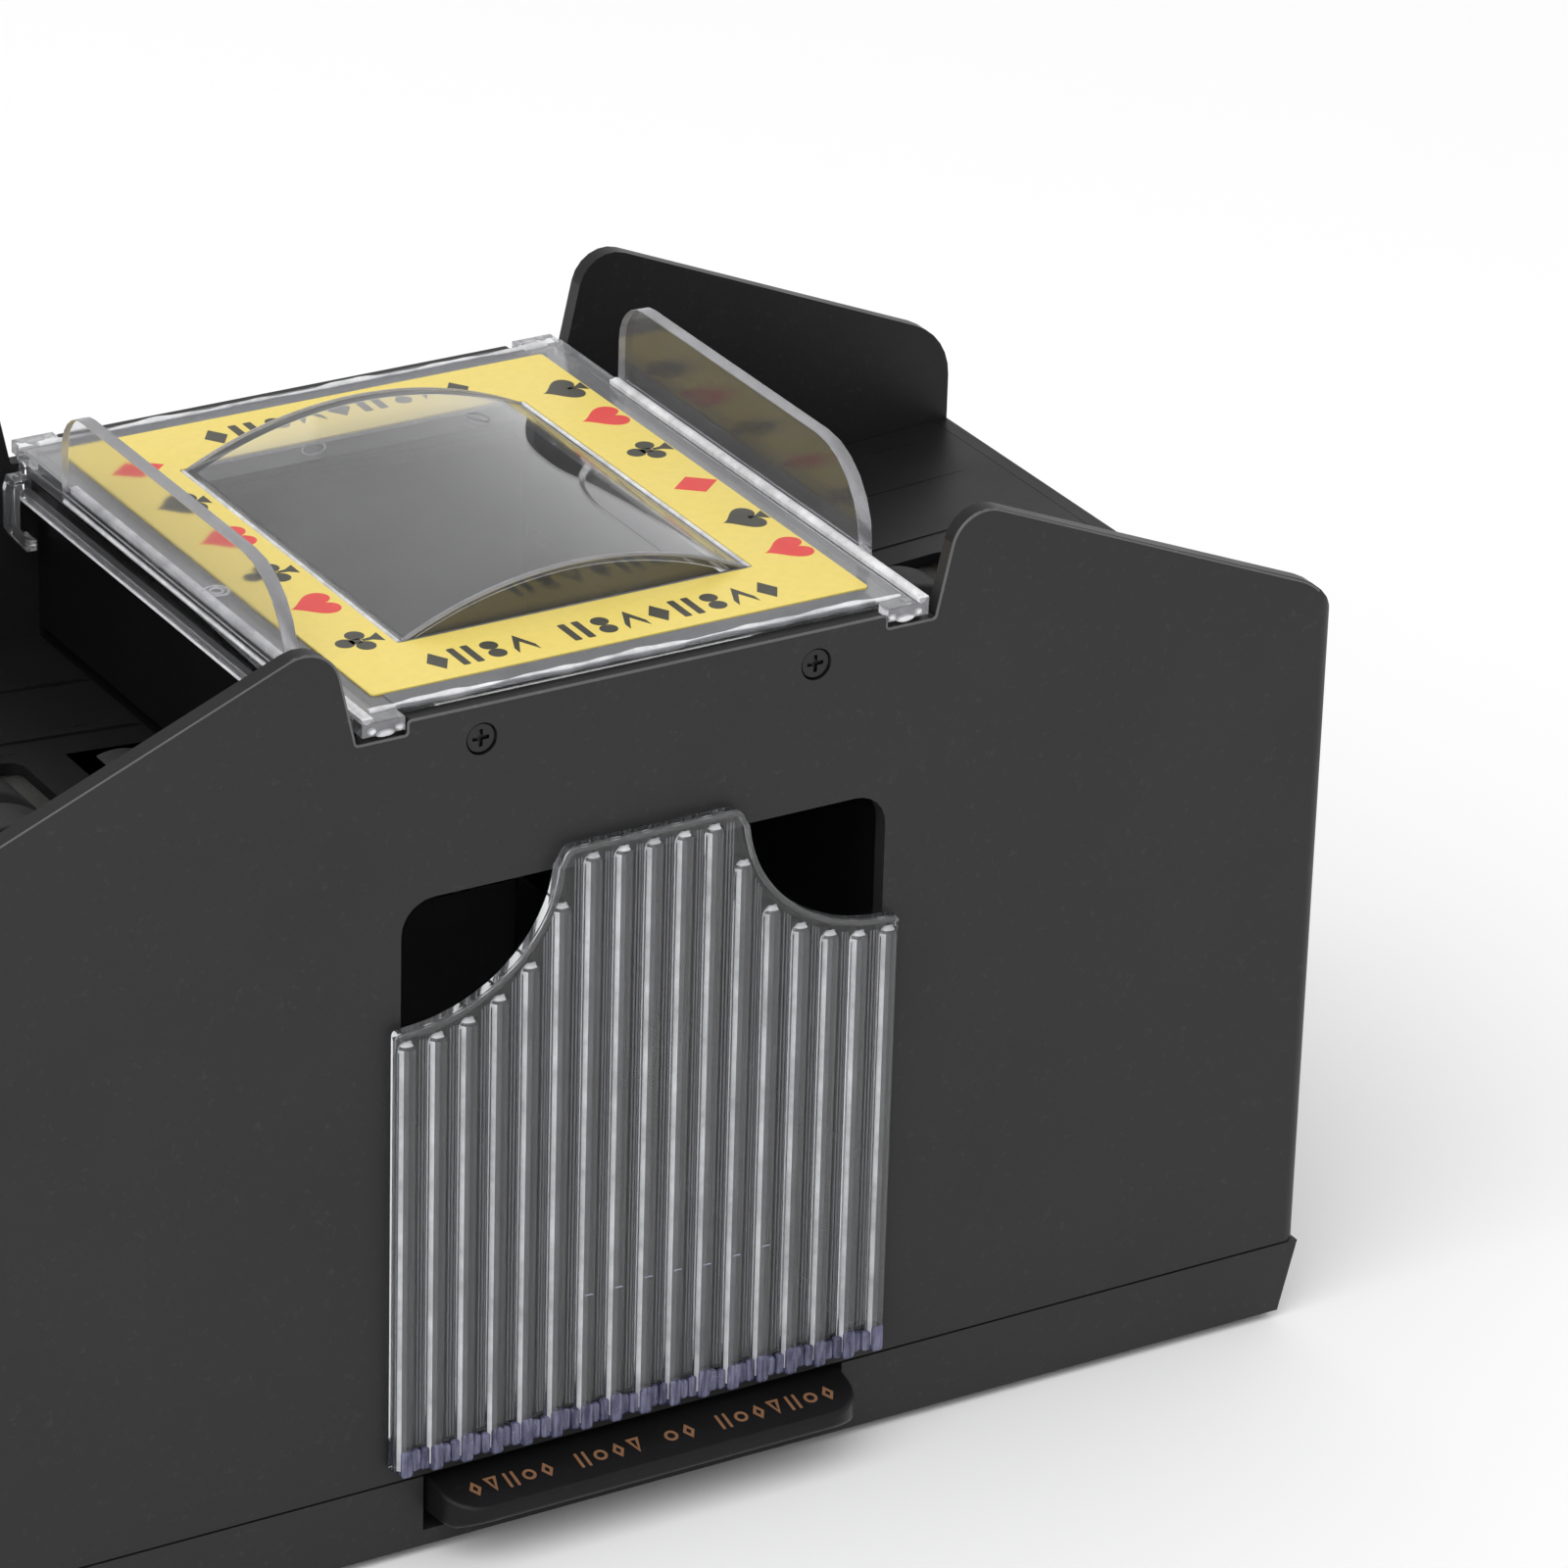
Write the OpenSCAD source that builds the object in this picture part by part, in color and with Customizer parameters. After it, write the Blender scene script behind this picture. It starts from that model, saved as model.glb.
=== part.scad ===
// Battery card shuffler: two sloped feed trays, a roller drive under each tray,
// a clear drawer that collects the shuffled cards and a clear lift-off cover.
// X runs from tray to tray, Y from the drawer (front, -Y) to the back, Z up from the floor.

/* [Housing] */
// Overall width, tray end to tray end
body_w = 204; // [200:1:210]
// Depth of the housing, front wall to back wall
body_d = 98; // [97:0.5:101]
// Thickness of the housing walls
wall_t = 2.3; // [1.8:0.1:2.4]
// Height of the wall between the wings
wall_mid_h = 117.5; // [117:0.5:118]
// Height of the wing peaks, corners unrounded
wing_peak_h = 131; // [128:0.5:131]
// Height of the wings at the tray ends, corners unrounded
wing_end_h = 107.2; // [103:0.5:110]
// Distance of each wing peak from the centre line
wing_peak_x = 44.4; // [44:0.1:46]
// Height of the seam between base pan and walls
seam_h = 11.6; // [11.4:0.1:11.8]

/* [Drawer] */
// Half width of the window in the front wall
window_half_w = 34.5; // [34.3:0.1:34.9]
// Top of the window
window_top = 93; // [92:0.5:95]
// Half width of the ribbed drawer front
panel_half_w = 36; // [35.5:0.1:37]
// Height of the drawer front at its sides
panel_side_h = 76.2; // [72:0.2:78]
// Height of the drawer front in the middle
panel_peak_h = 96.2; // [95:0.2:98]
// Number of ribs on the drawer front
rib_count = 17; // [9:2:21]

/* [Trays and rollers] */
// Height of the tray floor at its inner end
tray_in_h = 90.6; // [90:0.1:91]
// Height of the tray floor at its outer end
tray_out_h = 94.8; // [94:0.1:96]
// Diameter of the feed roller tyres
feed_d = 24; // [22:0.5:24.5]
// Diameter of the exit roller tyres
exit_d = 16; // [15:0.5:16.5]

/* [Cover] */
// Top face of the clear cover plate
cover_h = 118.1; // [117.5:0.1:118.5]
// Rise of the clear vault above the plate
vault_rise = 6; // [4:0.5:8]
// Height of the two fins above the plate
fin_h = 12.2; // [10:0.2:18]

/* [Drive] */
// Module of the gear teeth
gear_m = 0.8; // [0.8:0.1:0.8]

/* [Hidden] */
$fn = 64;

// Housing planes. The press bar stands 8 mm proud of the front wall, and the
// origin is under the middle of the whole, so the housing sits 4 mm back.
bar_reach = 8;
half_w = body_w / 2;
front_y = -(body_d + bar_reach) / 2;
wall_front_y = front_y + bar_reach;
wall_back_y = wall_front_y + body_d;
mid_y = (wall_front_y + wall_back_y) / 2;
inner_front_y = wall_front_y + wall_t;
inner_back_y = wall_back_y - wall_t;
inner_x = half_w - wall_t + 0.1;
foot_h = 1.2;
base_floor_t = 2.2;
base_top = seam_h - 0.3;
floor_top = foot_h + base_floor_t;
base_chamfer = 2.6;

// Wing and notch
wing_peak_r = 5;
wing_end_r = 9;
wing_foot_x = 41;
notch_in_x = 33.6;
notch_h = wall_mid_h - 1.9;
corner_r = 2.4;
end_wall_top = tray_out_h - 0.1;

// Bin between the dividers
div_x = 35.3;
div_t = 2;
div_out = div_x + div_t;
cover_t = 2;
cover_z = cover_h - cover_t;
gate_h = 1.6;
crossbar_d = 4.4;
crossbar_z = 105;

// Feed trays
tray_t = 1.6;
tray_x0 = div_out + 0.1;
tray_x1 = inner_x - 0.1;
tray_slope = (tray_out_h - tray_in_h) / (half_w - 1 - div_x);
tray_gap = 0.15;
feed_hole = [57.5, 79.9];
exit_hole = [39.1, 51];
hole_half_d = 10.6;
function floor_z(x) = tray_in_h + (x - div_x) * tray_slope;

// Roller shafts
feed_x = 68.5;
feed_z = floor_z(feed_x) + 1.2 - feed_d / 2;
exit_x = 45.05;
exit_z = floor_z(exit_x) + 0.6 - exit_d / 2;
tyre_gap = 4;
tyre_w = 7;
shaft_d = 4;
run_gap = 0.05;

// Gear train, all axes along Y
pressure = 25;
gear_lash = 0.14;
feed_teeth = 20;
exit_teeth = 12;
idler_teeth = 14;
small_teeth = 10;
large_teeth = 40;
pinion_teeth = 10;
pin_d = 3;
plate_t = 2;
plate_rear_y = mid_y + 14.5;
plate_front_y = mid_y - 16.5;
layer1_y = plate_rear_y + plate_t + 0.5;
gear_w = 3.5;
layer2_y = layer1_y + gear_w + 0.5;
function pitch_r(n) = n * gear_m / 2;
feed_c = [feed_x, feed_z];
exit_c = [exit_x, exit_z];
reduction_angle = -80;
reduction_c = feed_c + (pitch_r(feed_teeth) + pitch_r(small_teeth))
    * [cos(reduction_angle), sin(reduction_angle)];
motor_angle = -55;
motor_c = reduction_c + (pitch_r(large_teeth) + pitch_r(pinion_teeth))
    * [cos(motor_angle), sin(motor_angle)];
// The idler hangs below the line from feed shaft to exit shaft and meshes with both
span = norm(exit_c - feed_c);
span_angle = atan2(exit_c.y - feed_c.y, exit_c.x - feed_c.x);
feed_idler = pitch_r(feed_teeth) + pitch_r(idler_teeth);
exit_idler = pitch_r(exit_teeth) + pitch_r(idler_teeth);
idler_bend = acos((feed_idler ^ 2 + span ^ 2 - exit_idler ^ 2) / (2 * feed_idler * span));
idler_angle = span_angle + idler_bend;
idler_c = feed_c + feed_idler * [cos(idler_angle), sin(idler_angle)];
function heading(a, b) = atan2(b.y - a.y, b.x - a.x);
// Phase of a gear that meshes with another gear of known phase
function mesh_phase(from_c, to_c, from_n, to_n, from_phase) =
    heading(from_c, to_c) + 180 + 180 / to_n
    - (from_phase - heading(from_c, to_c)) * from_n / to_n;
feed_phase = 0;
reduction_phase = mesh_phase(feed_c, reduction_c, feed_teeth, small_teeth, feed_phase);
idler_phase = mesh_phase(feed_c, idler_c, feed_teeth, idler_teeth, feed_phase);
exit_phase = mesh_phase(idler_c, exit_c, idler_teeth, exit_teeth, idler_phase);
pinion_phase = mesh_phase(reduction_c, motor_c, large_teeth, pinion_teeth, reduction_phase);

// Motors
motor_r = 12;
motor_len = 26.5;
motor_shaft_d = 2;
motor_screw_x = 8;

// Batteries, four AA cells side by side under the right tray
cell_r = 7.1;
cell_len = 48.9;
cell_pitch = 14.4;
cell_x0 = 46.5;
bay_x = [37.6, 98.6];
bay_y = [mid_y - 31, mid_y + 31];
bay_wall = 1.4;
bay_top = 19.4;
door_t = 1.6;
door_tongue = 1;
door_top = foot_h + door_t;
door_gap = 0.15;
cell_z = floor_top + cell_r + 0.2;

// Press bar and switch
bar_half_w = 30.3;
bar_travel = 1.5;
bar_flange_half_w = 34;
bar_top = seam_h - 0.4;
bar_flange_y = inner_front_y + 0.3;
spring_x = 24;
spring_y = bar_flange_y + 4;
switch_y = spring_y + 0.6;
nose_r = 1.2;
nose_x = 6;
lever_len = 12;
lever_t = 0.4;
lever_top = 8;

// Screws and feet
wall_screw_x = 23.6;
wall_screw_z = 112.9;
screw_head_r = 2.6;
wall_head_r = 1.9;
screw_r = 1.45;
base_screw_x = 93;
base_screw_y = [wall_front_y + 8, wall_back_y - 8];
foot_x = 79;
foot_y = [wall_front_y + 8.5, wall_back_y - 8.5];
foot_r = 6;

// Drawer
panel_t = 1.6;
panel_z = 13.4;
drawer_half_w = 33.6;
drawer_wall = 1.2;
drawer_z = 15;
drawer_side_h = 26;
drawer_back_y = inner_back_y - 3.4;
rib_r = 1.35;
rib_sink = 0.25;
notch_rx = 21.5;
panel_face_y = wall_front_y - 0.05 - panel_t;

// Cover
fin_x = [39.7, 41.7];
fin_y = [mid_y - 32, mid_y + 30];
fin_foot = 1.3;
label_half_w = 35.1;
label_y = [mid_y - 42.2, mid_y + 42.6];
label_t = 0.3;
vault_half_w = 24.9;
vault_y = [mid_y - 29.9, mid_y + 29.2];
vault_t = 1.2;
cover_half_w = 40.2;
skirt_t = 1.2;
skirt_z = 110.9;
ridge_x = [38.4, 39.9];
ridge_h = 0.7;
tab_x = [notch_in_x + 0.4, 39.9];
tab_z = cover_h - 1.4;

// Points of an arc from angle a to angle b
function arc(c, r, a, b, n = 8) = [for (i = [0:n]) c + r * [cos(a + (b - a) * i / n), sin(a + (b - a) * i / n)]];
function unit(v) = v / norm(v);
function cross2(a, b) = a.x * b.y - a.y * b.x;
// One rounded corner: p is the corner, a and b its neighbours, r its radius
function corner(a, p, b, r) =
    let (u = unit(a - p), v = unit(b - p), h = acos(u * v) / 2)
    let (c = p + unit(u + v) * r / sin(h), s = p + u * r / tan(h) - c)
    let (from = atan2(s.y, s.x), turn = (180 - 2 * h) * sign(cross2(-u, v)))
    arc(c, r, from, from + turn, 6);
// Outline from corners [x, y, radius]
function round_path(p) = [for (i = [0:len(p) - 1])
    let (a = p[(i + len(p) - 1) % len(p)], b = p[(i + 1) % len(p)], q = p[i])
    each (q[2] > 0 ? corner([a.x, a.y], [q.x, q.y], [b.x, b.y], q[2]) : [[q.x, q.y]])];
function mirrored(p) = [for (i = [len(p) - 1:-1:0]) [-p[i].x, p[i].y, p[i][2]]];

// Extrudes an outline drawn in the XZ plane from y0 to y1
module extrude_y(y0, y1) {
    translate([0, y1, 0])
        rotate([90, 0, 0])
            linear_extrude(y1 - y0)
                children();
}
// Extrudes an outline drawn in the YZ plane from x0 to x1
module extrude_x(x0, x1) {
    translate([x0, 0, 0])
        rotate([90, 0, 90])
            linear_extrude(x1 - x0)
                children();
}
module rod_y(c, r, y0, y1) {
    translate([c.x, y1, c.y])
        rotate([90, 0, 0])
            cylinder(r = r, h = y1 - y0);
}
module block(x, y, z) {
    translate([x[0], y[0], z[0]])
        cube([x[1] - x[0], y[1] - y[0], z[1] - z[0]]);
}
module both_sides() {
    children();
    mirror([1, 0, 0])
        children();
}
module left() {
    mirror([1, 0, 0])
        children();
}

// Involute gear
function involute(rb, t) = rb * [cos(t) + t * PI / 180 * sin(t), sin(t) - t * PI / 180 * cos(t)];
function polar(p) = [norm(p), atan2(p.y, p.x)];
function flank(n) =
    let (rp = pitch_r(n), rb = rp * cos(pressure), ra = rp + 0.8 * gear_m, rf = rp - 1.1 * gear_m)
    let (t0 = rf > rb ? sqrt((rf / rb) ^ 2 - 1) * 180 / PI : 0, t1 = sqrt((ra / rb) ^ 2 - 1) * 180 / PI)
    let (tp = sqrt((rp / rb) ^ 2 - 1) * 180 / PI, ap = polar(involute(rb, tp))[1])
    let (half = 90 / n - gear_lash / 2 / rp * 90 / PI)
    concat(rf < rb ? [[rf, -half - ap]] : [],
        [for (i = [0:4]) let (q = polar(involute(rb, t0 + (t1 - t0) * i / 4))) [q[0], q[1] - ap - half]]);
module gear(n, phase) {
    side = flank(n);
    polygon([for (k = [0:n - 1]) each concat(
        [for (q = side) q[0] * [cos(phase + k * 360 / n + q[1]), sin(phase + k * 360 / n + q[1])]],
        [for (i = [len(side) - 1:-1:0]) side[i][0]
            * [cos(phase + k * 360 / n - side[i][1]), sin(phase + k * 360 / n - side[i][1])]])]);
}
module gear_y(c, n, phase, y0, w = gear_w) {
    translate([c.x, 0, c.y])
        extrude_y(y0, y0 + w)
            gear(n, phase);
}

// ---- housing ----
module wall_outline() {
    half = [
        [half_w, seam_h, 0],
        [half_w, wing_end_h, wing_end_r],
        [wing_peak_x, wing_peak_h, wing_peak_r],
        [wing_foot_x, notch_h, 0.5],
        [notch_in_x, notch_h, 0.4],
        [notch_in_x, wall_mid_h, 0.6]
    ];
    polygon(round_path(concat(half, mirrored(half))));
}
module window_outline() {
    translate([-window_half_w, drawer_z - 0.4])
        polygon(round_path([
            [0, 0, 1],
            [2 * window_half_w, 0, 1],
            [2 * window_half_w, window_top - drawer_z + 0.4, 4.5],
            [0, window_top - drawer_z + 0.4, 4.5]
        ]));
}
// Half of the end wall and a rounded vertical edge, for the shell whose wall is at -Y
module end_return() {
    translate([0, 0, seam_h])
        linear_extrude(end_wall_top - seam_h)
            polygon(round_path([
                [inner_x - 2, wall_front_y + 1, 0],
                [half_w - corner_r, wall_front_y, 0],
                [half_w, wall_front_y, corner_r],
                [half_w, mid_y, 0],
                [inner_x, mid_y, 0],
                [inner_x, inner_front_y, 0],
                [inner_x - 2, inner_front_y, 0]
            ]));
    // Ledge that carries the outer end of the tray
    block([inner_x - 1.8, inner_x + 0.5], [inner_front_y - 0.5, mid_y - 0.5],
        [end_wall_top - tray_t - 3.4, end_wall_top - tray_t - 0.4]);
}
module screw_boss() {
    difference() {
        union() {
            translate([base_screw_x, base_screw_y[0], floor_top + 0.05])
                cylinder(r = 3.4, h = 20);
            block([base_screw_x - 0.8, base_screw_x + 0.8], [inner_front_y - 0.5, base_screw_y[0]],
                [seam_h + 2.2, floor_top + 20]);
        }
        translate([base_screw_x, base_screw_y[0], floor_top - 1])
            cylinder(r = screw_r - 0.05, h = 15);
    }
}
module wall_screw_hole() {
    rod_y([wall_screw_x, wall_screw_z], wall_head_r + 0.25, wall_front_y - 1, wall_front_y + 1.2);
    rod_y([wall_screw_x, wall_screw_z], screw_r + 0.15, wall_front_y - 1, inner_front_y + 1);
}
module shell_at_front(with_window) {
    difference() {
        union() {
            extrude_y(wall_front_y, inner_front_y)
                wall_outline();
            both_sides()
                end_return();
            both_sides()
                screw_boss();
        }
        if (with_window)
            extrude_y(wall_front_y - 1, inner_front_y + 1)
                window_outline();
        both_sides()
            wall_screw_hole();
        // Round the vertical edge of the plate over its whole height
        both_sides()
            translate([0, 0, seam_h - 1])
                linear_extrude(wing_end_h - seam_h + 10)
                    difference() {
                        translate([half_w - corner_r, wall_front_y - 1])
                            square([corner_r + 1, corner_r + 1]);
                        translate([half_w - corner_r, wall_front_y + corner_r])
                            circle(corner_r);
                        translate([half_w - corner_r - 1, wall_front_y + corner_r - 0.001])
                            square([corner_r + 3, 3]);
                    }
    }
}
module front_shell() {
    color([0.13, 0.13, 0.135])
        shell_at_front(true);
}
module back_shell() {
    color([0.13, 0.13, 0.135])
        translate([0, 2 * mid_y, 0])
            mirror([0, 1, 0])
                shell_at_front(false);
}

module base_profile(inset, z0, z1) {
    polygon([
        [-half_w + base_chamfer + inset, z0],
        [half_w - base_chamfer - inset, z0],
        [half_w - inset, z1],
        [-half_w + inset, z1]
    ]);
}
module base_pan() {
    rim = 2.1;
    color([0.12, 0.12, 0.125])
    difference() {
        union() {
            difference() {
                extrude_y(wall_front_y, wall_back_y)
                    base_profile(0, foot_h, base_top);
                extrude_y(wall_front_y + rim, wall_back_y - rim)
                    base_profile(rim, floor_top, base_top + 0.01);
            }
            // Inner lip that covers the seam from inside
            difference() {
                block([-inner_x + 0.2, inner_x - 0.2], [inner_front_y + 0.15, inner_back_y - 0.15],
                    [floor_top - 0.5, seam_h + 1.8]);
                block([-inner_x + 1.6, inner_x - 1.6], [inner_front_y + 1.4, inner_back_y - 1.4],
                    [floor_top - 1, seam_h + 3]);
                block([-bar_flange_half_w - 0.6, bar_flange_half_w + 0.6],
                    [inner_front_y - 1, inner_front_y + 3], [floor_top, seam_h + 3]);
                block([-div_out - 0.1, div_out + 0.1], [inner_front_y - 1, inner_back_y + 1],
                    [floor_top, seam_h + 3]);
            }
            // Battery bay, open downwards
            block([bay_x[0], bay_x[1]], bay_y, [floor_top - 0.5, bay_top + bay_wall]);
            // Socket for each housing screw boss
            for (y = base_screw_y)
                both_sides()
                    translate([base_screw_x, y, floor_top - 0.5])
                        cylinder(r = 3.4, h = 0.5);
        }
        // Bay inside
        block([bay_x[0] + bay_wall, bay_x[1] - bay_wall], [bay_y[0] + bay_wall, bay_y[1] - bay_wall],
            [foot_h - 1, bay_top]);
        // Slideway of the battery door, a T-slot that runs out through the right end
        block([bay_x[0] + bay_wall - 1, half_w + 1], [bay_y[0] + bay_wall, bay_y[1] - bay_wall],
            [foot_h - 1, door_top + door_gap]);
        block([bay_x[0] + bay_wall - 1, half_w + 1],
            [bay_y[0] + bay_wall - door_tongue, bay_y[1] - bay_wall + door_tongue],
            [door_top - 0.8 - door_gap, door_top + door_gap]);
        // Cut-out for the press bar
        block([-bar_half_w - 0.5, bar_half_w + 0.5], [wall_front_y - 1, wall_front_y + rim + 0.01],
            [floor_top, base_top + 1]);
        for (y = base_screw_y)
            both_sides()
                translate([base_screw_x, y, foot_h - 1]) {
                    cylinder(r = screw_r + 0.15, h = 5);
                    cylinder(r = screw_head_r + 0.2, h = 2.05);
                }
        for (y = foot_y)
            both_sides()
                translate([foot_x, y, foot_h - 1])
                    cylinder(r = foot_r + 0.05, h = 1.8);
    }
}

// ---- bin ----
module divider_right() {
    difference() {
        union() {
            block([div_x, div_out], [inner_front_y + 0.1, inner_back_y - 0.1], [floor_top + 0.05, cover_z - 0.05]);
            // Rail under the drawer
            block([div_x - 3.2, div_x + 0.5], [inner_front_y + 1, inner_back_y - 1], [drawer_z - 2.1, drawer_z - 0.1]);
            // Ledge under the tray
            block([div_out - 0.5, div_out + 1.6], [inner_front_y + 1, inner_back_y - 1],
                [tray_in_h - tray_t - 3, tray_in_h - tray_t - 0.1]);
        }
        // Gate through which the cards leave the tray
        block([div_x - 1, div_out + 1], [inner_front_y + 1.2, inner_back_y - 1.2], [tray_in_h, tray_in_h + gate_h]);
        // Room for the exit roller
        block([div_out - 0.5, div_out + 3], [mid_y - hole_half_d, mid_y + hole_half_d], [exit_z - 9, tray_in_h]);
        // Room for the press bar
        block([div_x - 1, div_out + 1], [inner_front_y - 1, inner_front_y + 10], [floor_top - 1, drawer_z - 2.6]);
    }
}
module left_divider() {
    color([0.1, 0.1, 0.1])
        left()
            divider_right();
}
module right_divider() {
    color([0.1, 0.1, 0.1])
        divider_right();
}
module crossbar_at_front() {
    difference() {
        block([-div_x + 0.05, div_x - 0.05], [inner_front_y, inner_front_y + crossbar_d], [crossbar_z, cover_z - 0.1]);
        block([-div_x + 3, div_x - 3], [inner_front_y + 1.6, inner_front_y + crossbar_d + 1],
            [crossbar_z + 1.6, cover_z + 1]);
    }
    both_sides()
        rod_y([wall_screw_x, wall_screw_z], 3, inner_front_y + 1.5, inner_front_y + crossbar_d + 3);
}
module crossbar_holes() {
    both_sides()
        rod_y([wall_screw_x, wall_screw_z], screw_r - 0.05, inner_front_y - 1, inner_front_y + crossbar_d + 2);
}
module front_crossbar() {
    color([0.1, 0.1, 0.1])
        difference() {
            crossbar_at_front();
            crossbar_holes();
        }
}
module rear_crossbar() {
    color([0.1, 0.1, 0.1])
        translate([0, 2 * mid_y, 0])
            mirror([0, 1, 0])
                difference() {
                    crossbar_at_front();
                    crossbar_holes();
                }
}

// ---- trays ----
module tray_right() {
    rib_h = 0.5;
    rib_w = 0.8;
    difference() {
        union() {
            extrude_y(inner_front_y + tray_gap, inner_back_y - tray_gap)
                polygon([
                    [tray_x0, floor_z(tray_x0) - tray_t],
                    [tray_x1, floor_z(tray_x1) - tray_t],
                    [tray_x1, floor_z(tray_x1)],
                    [tray_x0, floor_z(tray_x0)]
                ]);
            // Guide ribs that fade out towards the outer end
            for (dy = [-31, -16, 16, 31])
                extrude_y(mid_y + dy - rib_w / 2, mid_y + dy + rib_w / 2)
                    polygon([
                        [tray_x0, floor_z(tray_x0) - 0.2],
                        [95, floor_z(95) - 0.2],
                        [95, floor_z(95) + 0.02],
                        [tray_x0 + 2, floor_z(tray_x0 + 2) + rib_h],
                        [tray_x0, floor_z(tray_x0) + 0.02]
                    ]);
            // Side flanges
            for (y = [inner_front_y + tray_gap, inner_back_y - tray_gap - 1.4])
                extrude_y(y, y + 1.4)
                    polygon([
                        [tray_x0 + 3, floor_z(tray_x0) - 8],
                        [tray_x1 - 3, floor_z(tray_x1) - 8],
                        [tray_x1 - 3, floor_z(tray_x1) - 1],
                        [tray_x0 + 3, floor_z(tray_x0) - 1]
                    ]);
        }
        translate([0, 0, tray_in_h - 12])
            linear_extrude(24)
                polygon(round_path([
                    [feed_hole[0], mid_y - hole_half_d, 2],
                    [feed_hole[1], mid_y - hole_half_d, 2],
                    [feed_hole[1], mid_y + hole_half_d, 2],
                    [feed_hole[0], mid_y + hole_half_d, 2]
                ]));
        block(exit_hole, [mid_y - hole_half_d, mid_y + hole_half_d], [tray_in_h - 12, tray_in_h + 12]);
    }
}
module left_feed_tray() {
    color([0.11, 0.11, 0.115])
        left()
            tray_right();
}
module right_feed_tray() {
    color([0.11, 0.11, 0.115])
        tray_right();
}

// ---- drive ----
module bracket_right() {
    plate = [
        [div_out, 31], [66, 31], [95, 42], [95, 66],
        [80, floor_z(80) - tray_t - 0.5], [div_out + 2, floor_z(div_out) - tray_t - 3.4],
        [div_out, 74]
    ];
    difference() {
        union() {
            for (y = [plate_rear_y, plate_front_y])
                extrude_y(y, y + plate_t)
                    polygon(plate);
            block([div_out, div_out + 2], [plate_front_y, plate_rear_y + plate_t], [31, 74]);
        }
        for (c = [feed_c, exit_c])
            rod_y(c, shaft_d / 2 + run_gap, plate_front_y - 1, plate_rear_y + plate_t + 1);
        rod_y(motor_c, 3.1, plate_rear_y - 1, plate_rear_y + plate_t + 1);
        for (s = [-1, 1])
            rod_y(motor_c + [s * motor_screw_x, 0], 1.25, plate_rear_y - 1, plate_rear_y + plate_t + 1);
        rod_y(reduction_c, pin_d / 2, plate_rear_y - 1, plate_rear_y + plate_t + 1);
        rod_y(idler_c, pin_d / 2, plate_rear_y - 1, plate_rear_y + plate_t + 1);
        for (z = [38, 66])
            translate([div_out - 1, mid_y, z])
                rotate([0, 90, 0])
                    cylinder(r = screw_r + 0.05, h = 4);
        // Window through which the motor is seated
        rod_y(motor_c, motor_r + 0.3, plate_front_y - 1, plate_front_y + plate_t + 1);
    }
}
module left_gear_bracket() {
    color([0.85, 0.85, 0.82])
        left()
            bracket_right();
}
module right_gear_bracket() {
    color([0.85, 0.85, 0.82])
        bracket_right();
}
module motor_body_right() {
    difference() {
        union() {
            rod_y(motor_c, motor_r, plate_rear_y - motor_len, plate_rear_y);
            rod_y(motor_c, 3, plate_rear_y - 1, plate_rear_y + 1.8);
            rod_y(motor_c, 5, plate_rear_y - motor_len - 1.8, plate_rear_y - motor_len + 1);
            for (s = [-1, 1])
                block([motor_c.x + s * 7 - 0.25, motor_c.x + s * 7 + 0.25],
                    [plate_rear_y - motor_len - 4, plate_rear_y - motor_len + 1], [motor_c.y - 1.2, motor_c.y + 1.2]);
        }
        rod_y(motor_c, motor_shaft_d / 2 + run_gap, plate_rear_y - motor_len, plate_rear_y + 3);
        for (s = [-1, 1])
            rod_y(motor_c + [s * motor_screw_x, 0], 0.95, plate_rear_y - 4, plate_rear_y + 1);
    }
}
module left_motor() {
    color([0.75, 0.75, 0.77])
        left()
            motor_body_right();
}
module right_motor() {
    color([0.75, 0.75, 0.77])
        motor_body_right();
}
module motor_pinion_at_right() {
    rod_y(motor_c, motor_shaft_d / 2, plate_rear_y - motor_len + 1, layer2_y + gear_w + 0.5);
    gear_y(motor_c, pinion_teeth, pinion_phase, layer2_y);
}
module left_motor_pinion() {
    color([0.8, 0.68, 0.35])
        left()
            motor_pinion_at_right();
}
module right_motor_pinion() {
    color([0.8, 0.68, 0.35])
        motor_pinion_at_right();
}
module reduction_gear_at_right() {
    difference() {
        union() {
            gear_y(reduction_c, small_teeth, reduction_phase, layer1_y, gear_w + 0.6);
            gear_y(reduction_c, large_teeth, reduction_phase, layer2_y);
        }
        rod_y(reduction_c, pin_d / 2 + run_gap, layer1_y - 1, layer2_y + gear_w + 1);
    }
}
module left_reduction_gear() {
    color([0.93, 0.93, 0.9])
        left()
            reduction_gear_at_right();
}
module right_reduction_gear() {
    color([0.93, 0.93, 0.9])
        reduction_gear_at_right();
}
module idler_gear_at_right() {
    difference() {
        gear_y(idler_c, idler_teeth, idler_phase, layer1_y);
        rod_y(idler_c, pin_d / 2 + run_gap, layer1_y - 1, layer1_y + gear_w + 1);
    }
}
module left_idler_gear() {
    color([0.93, 0.93, 0.9])
        left()
            idler_gear_at_right();
}
module right_idler_gear() {
    color([0.93, 0.93, 0.9])
        idler_gear_at_right();
}
module gear_pins_at_right() {
    rod_y(reduction_c, pin_d / 2, plate_rear_y, layer2_y + gear_w + 0.3);
    rod_y(reduction_c, pin_d / 2 + 0.8, layer2_y + gear_w + 0.3, layer2_y + gear_w + 1);
    rod_y(idler_c, pin_d / 2, plate_rear_y, layer1_y + gear_w + 0.1);
}
module left_gear_pins() {
    color("silver")
        left()
            gear_pins_at_right();
}
module right_gear_pins() {
    color("silver")
        gear_pins_at_right();
}
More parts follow.
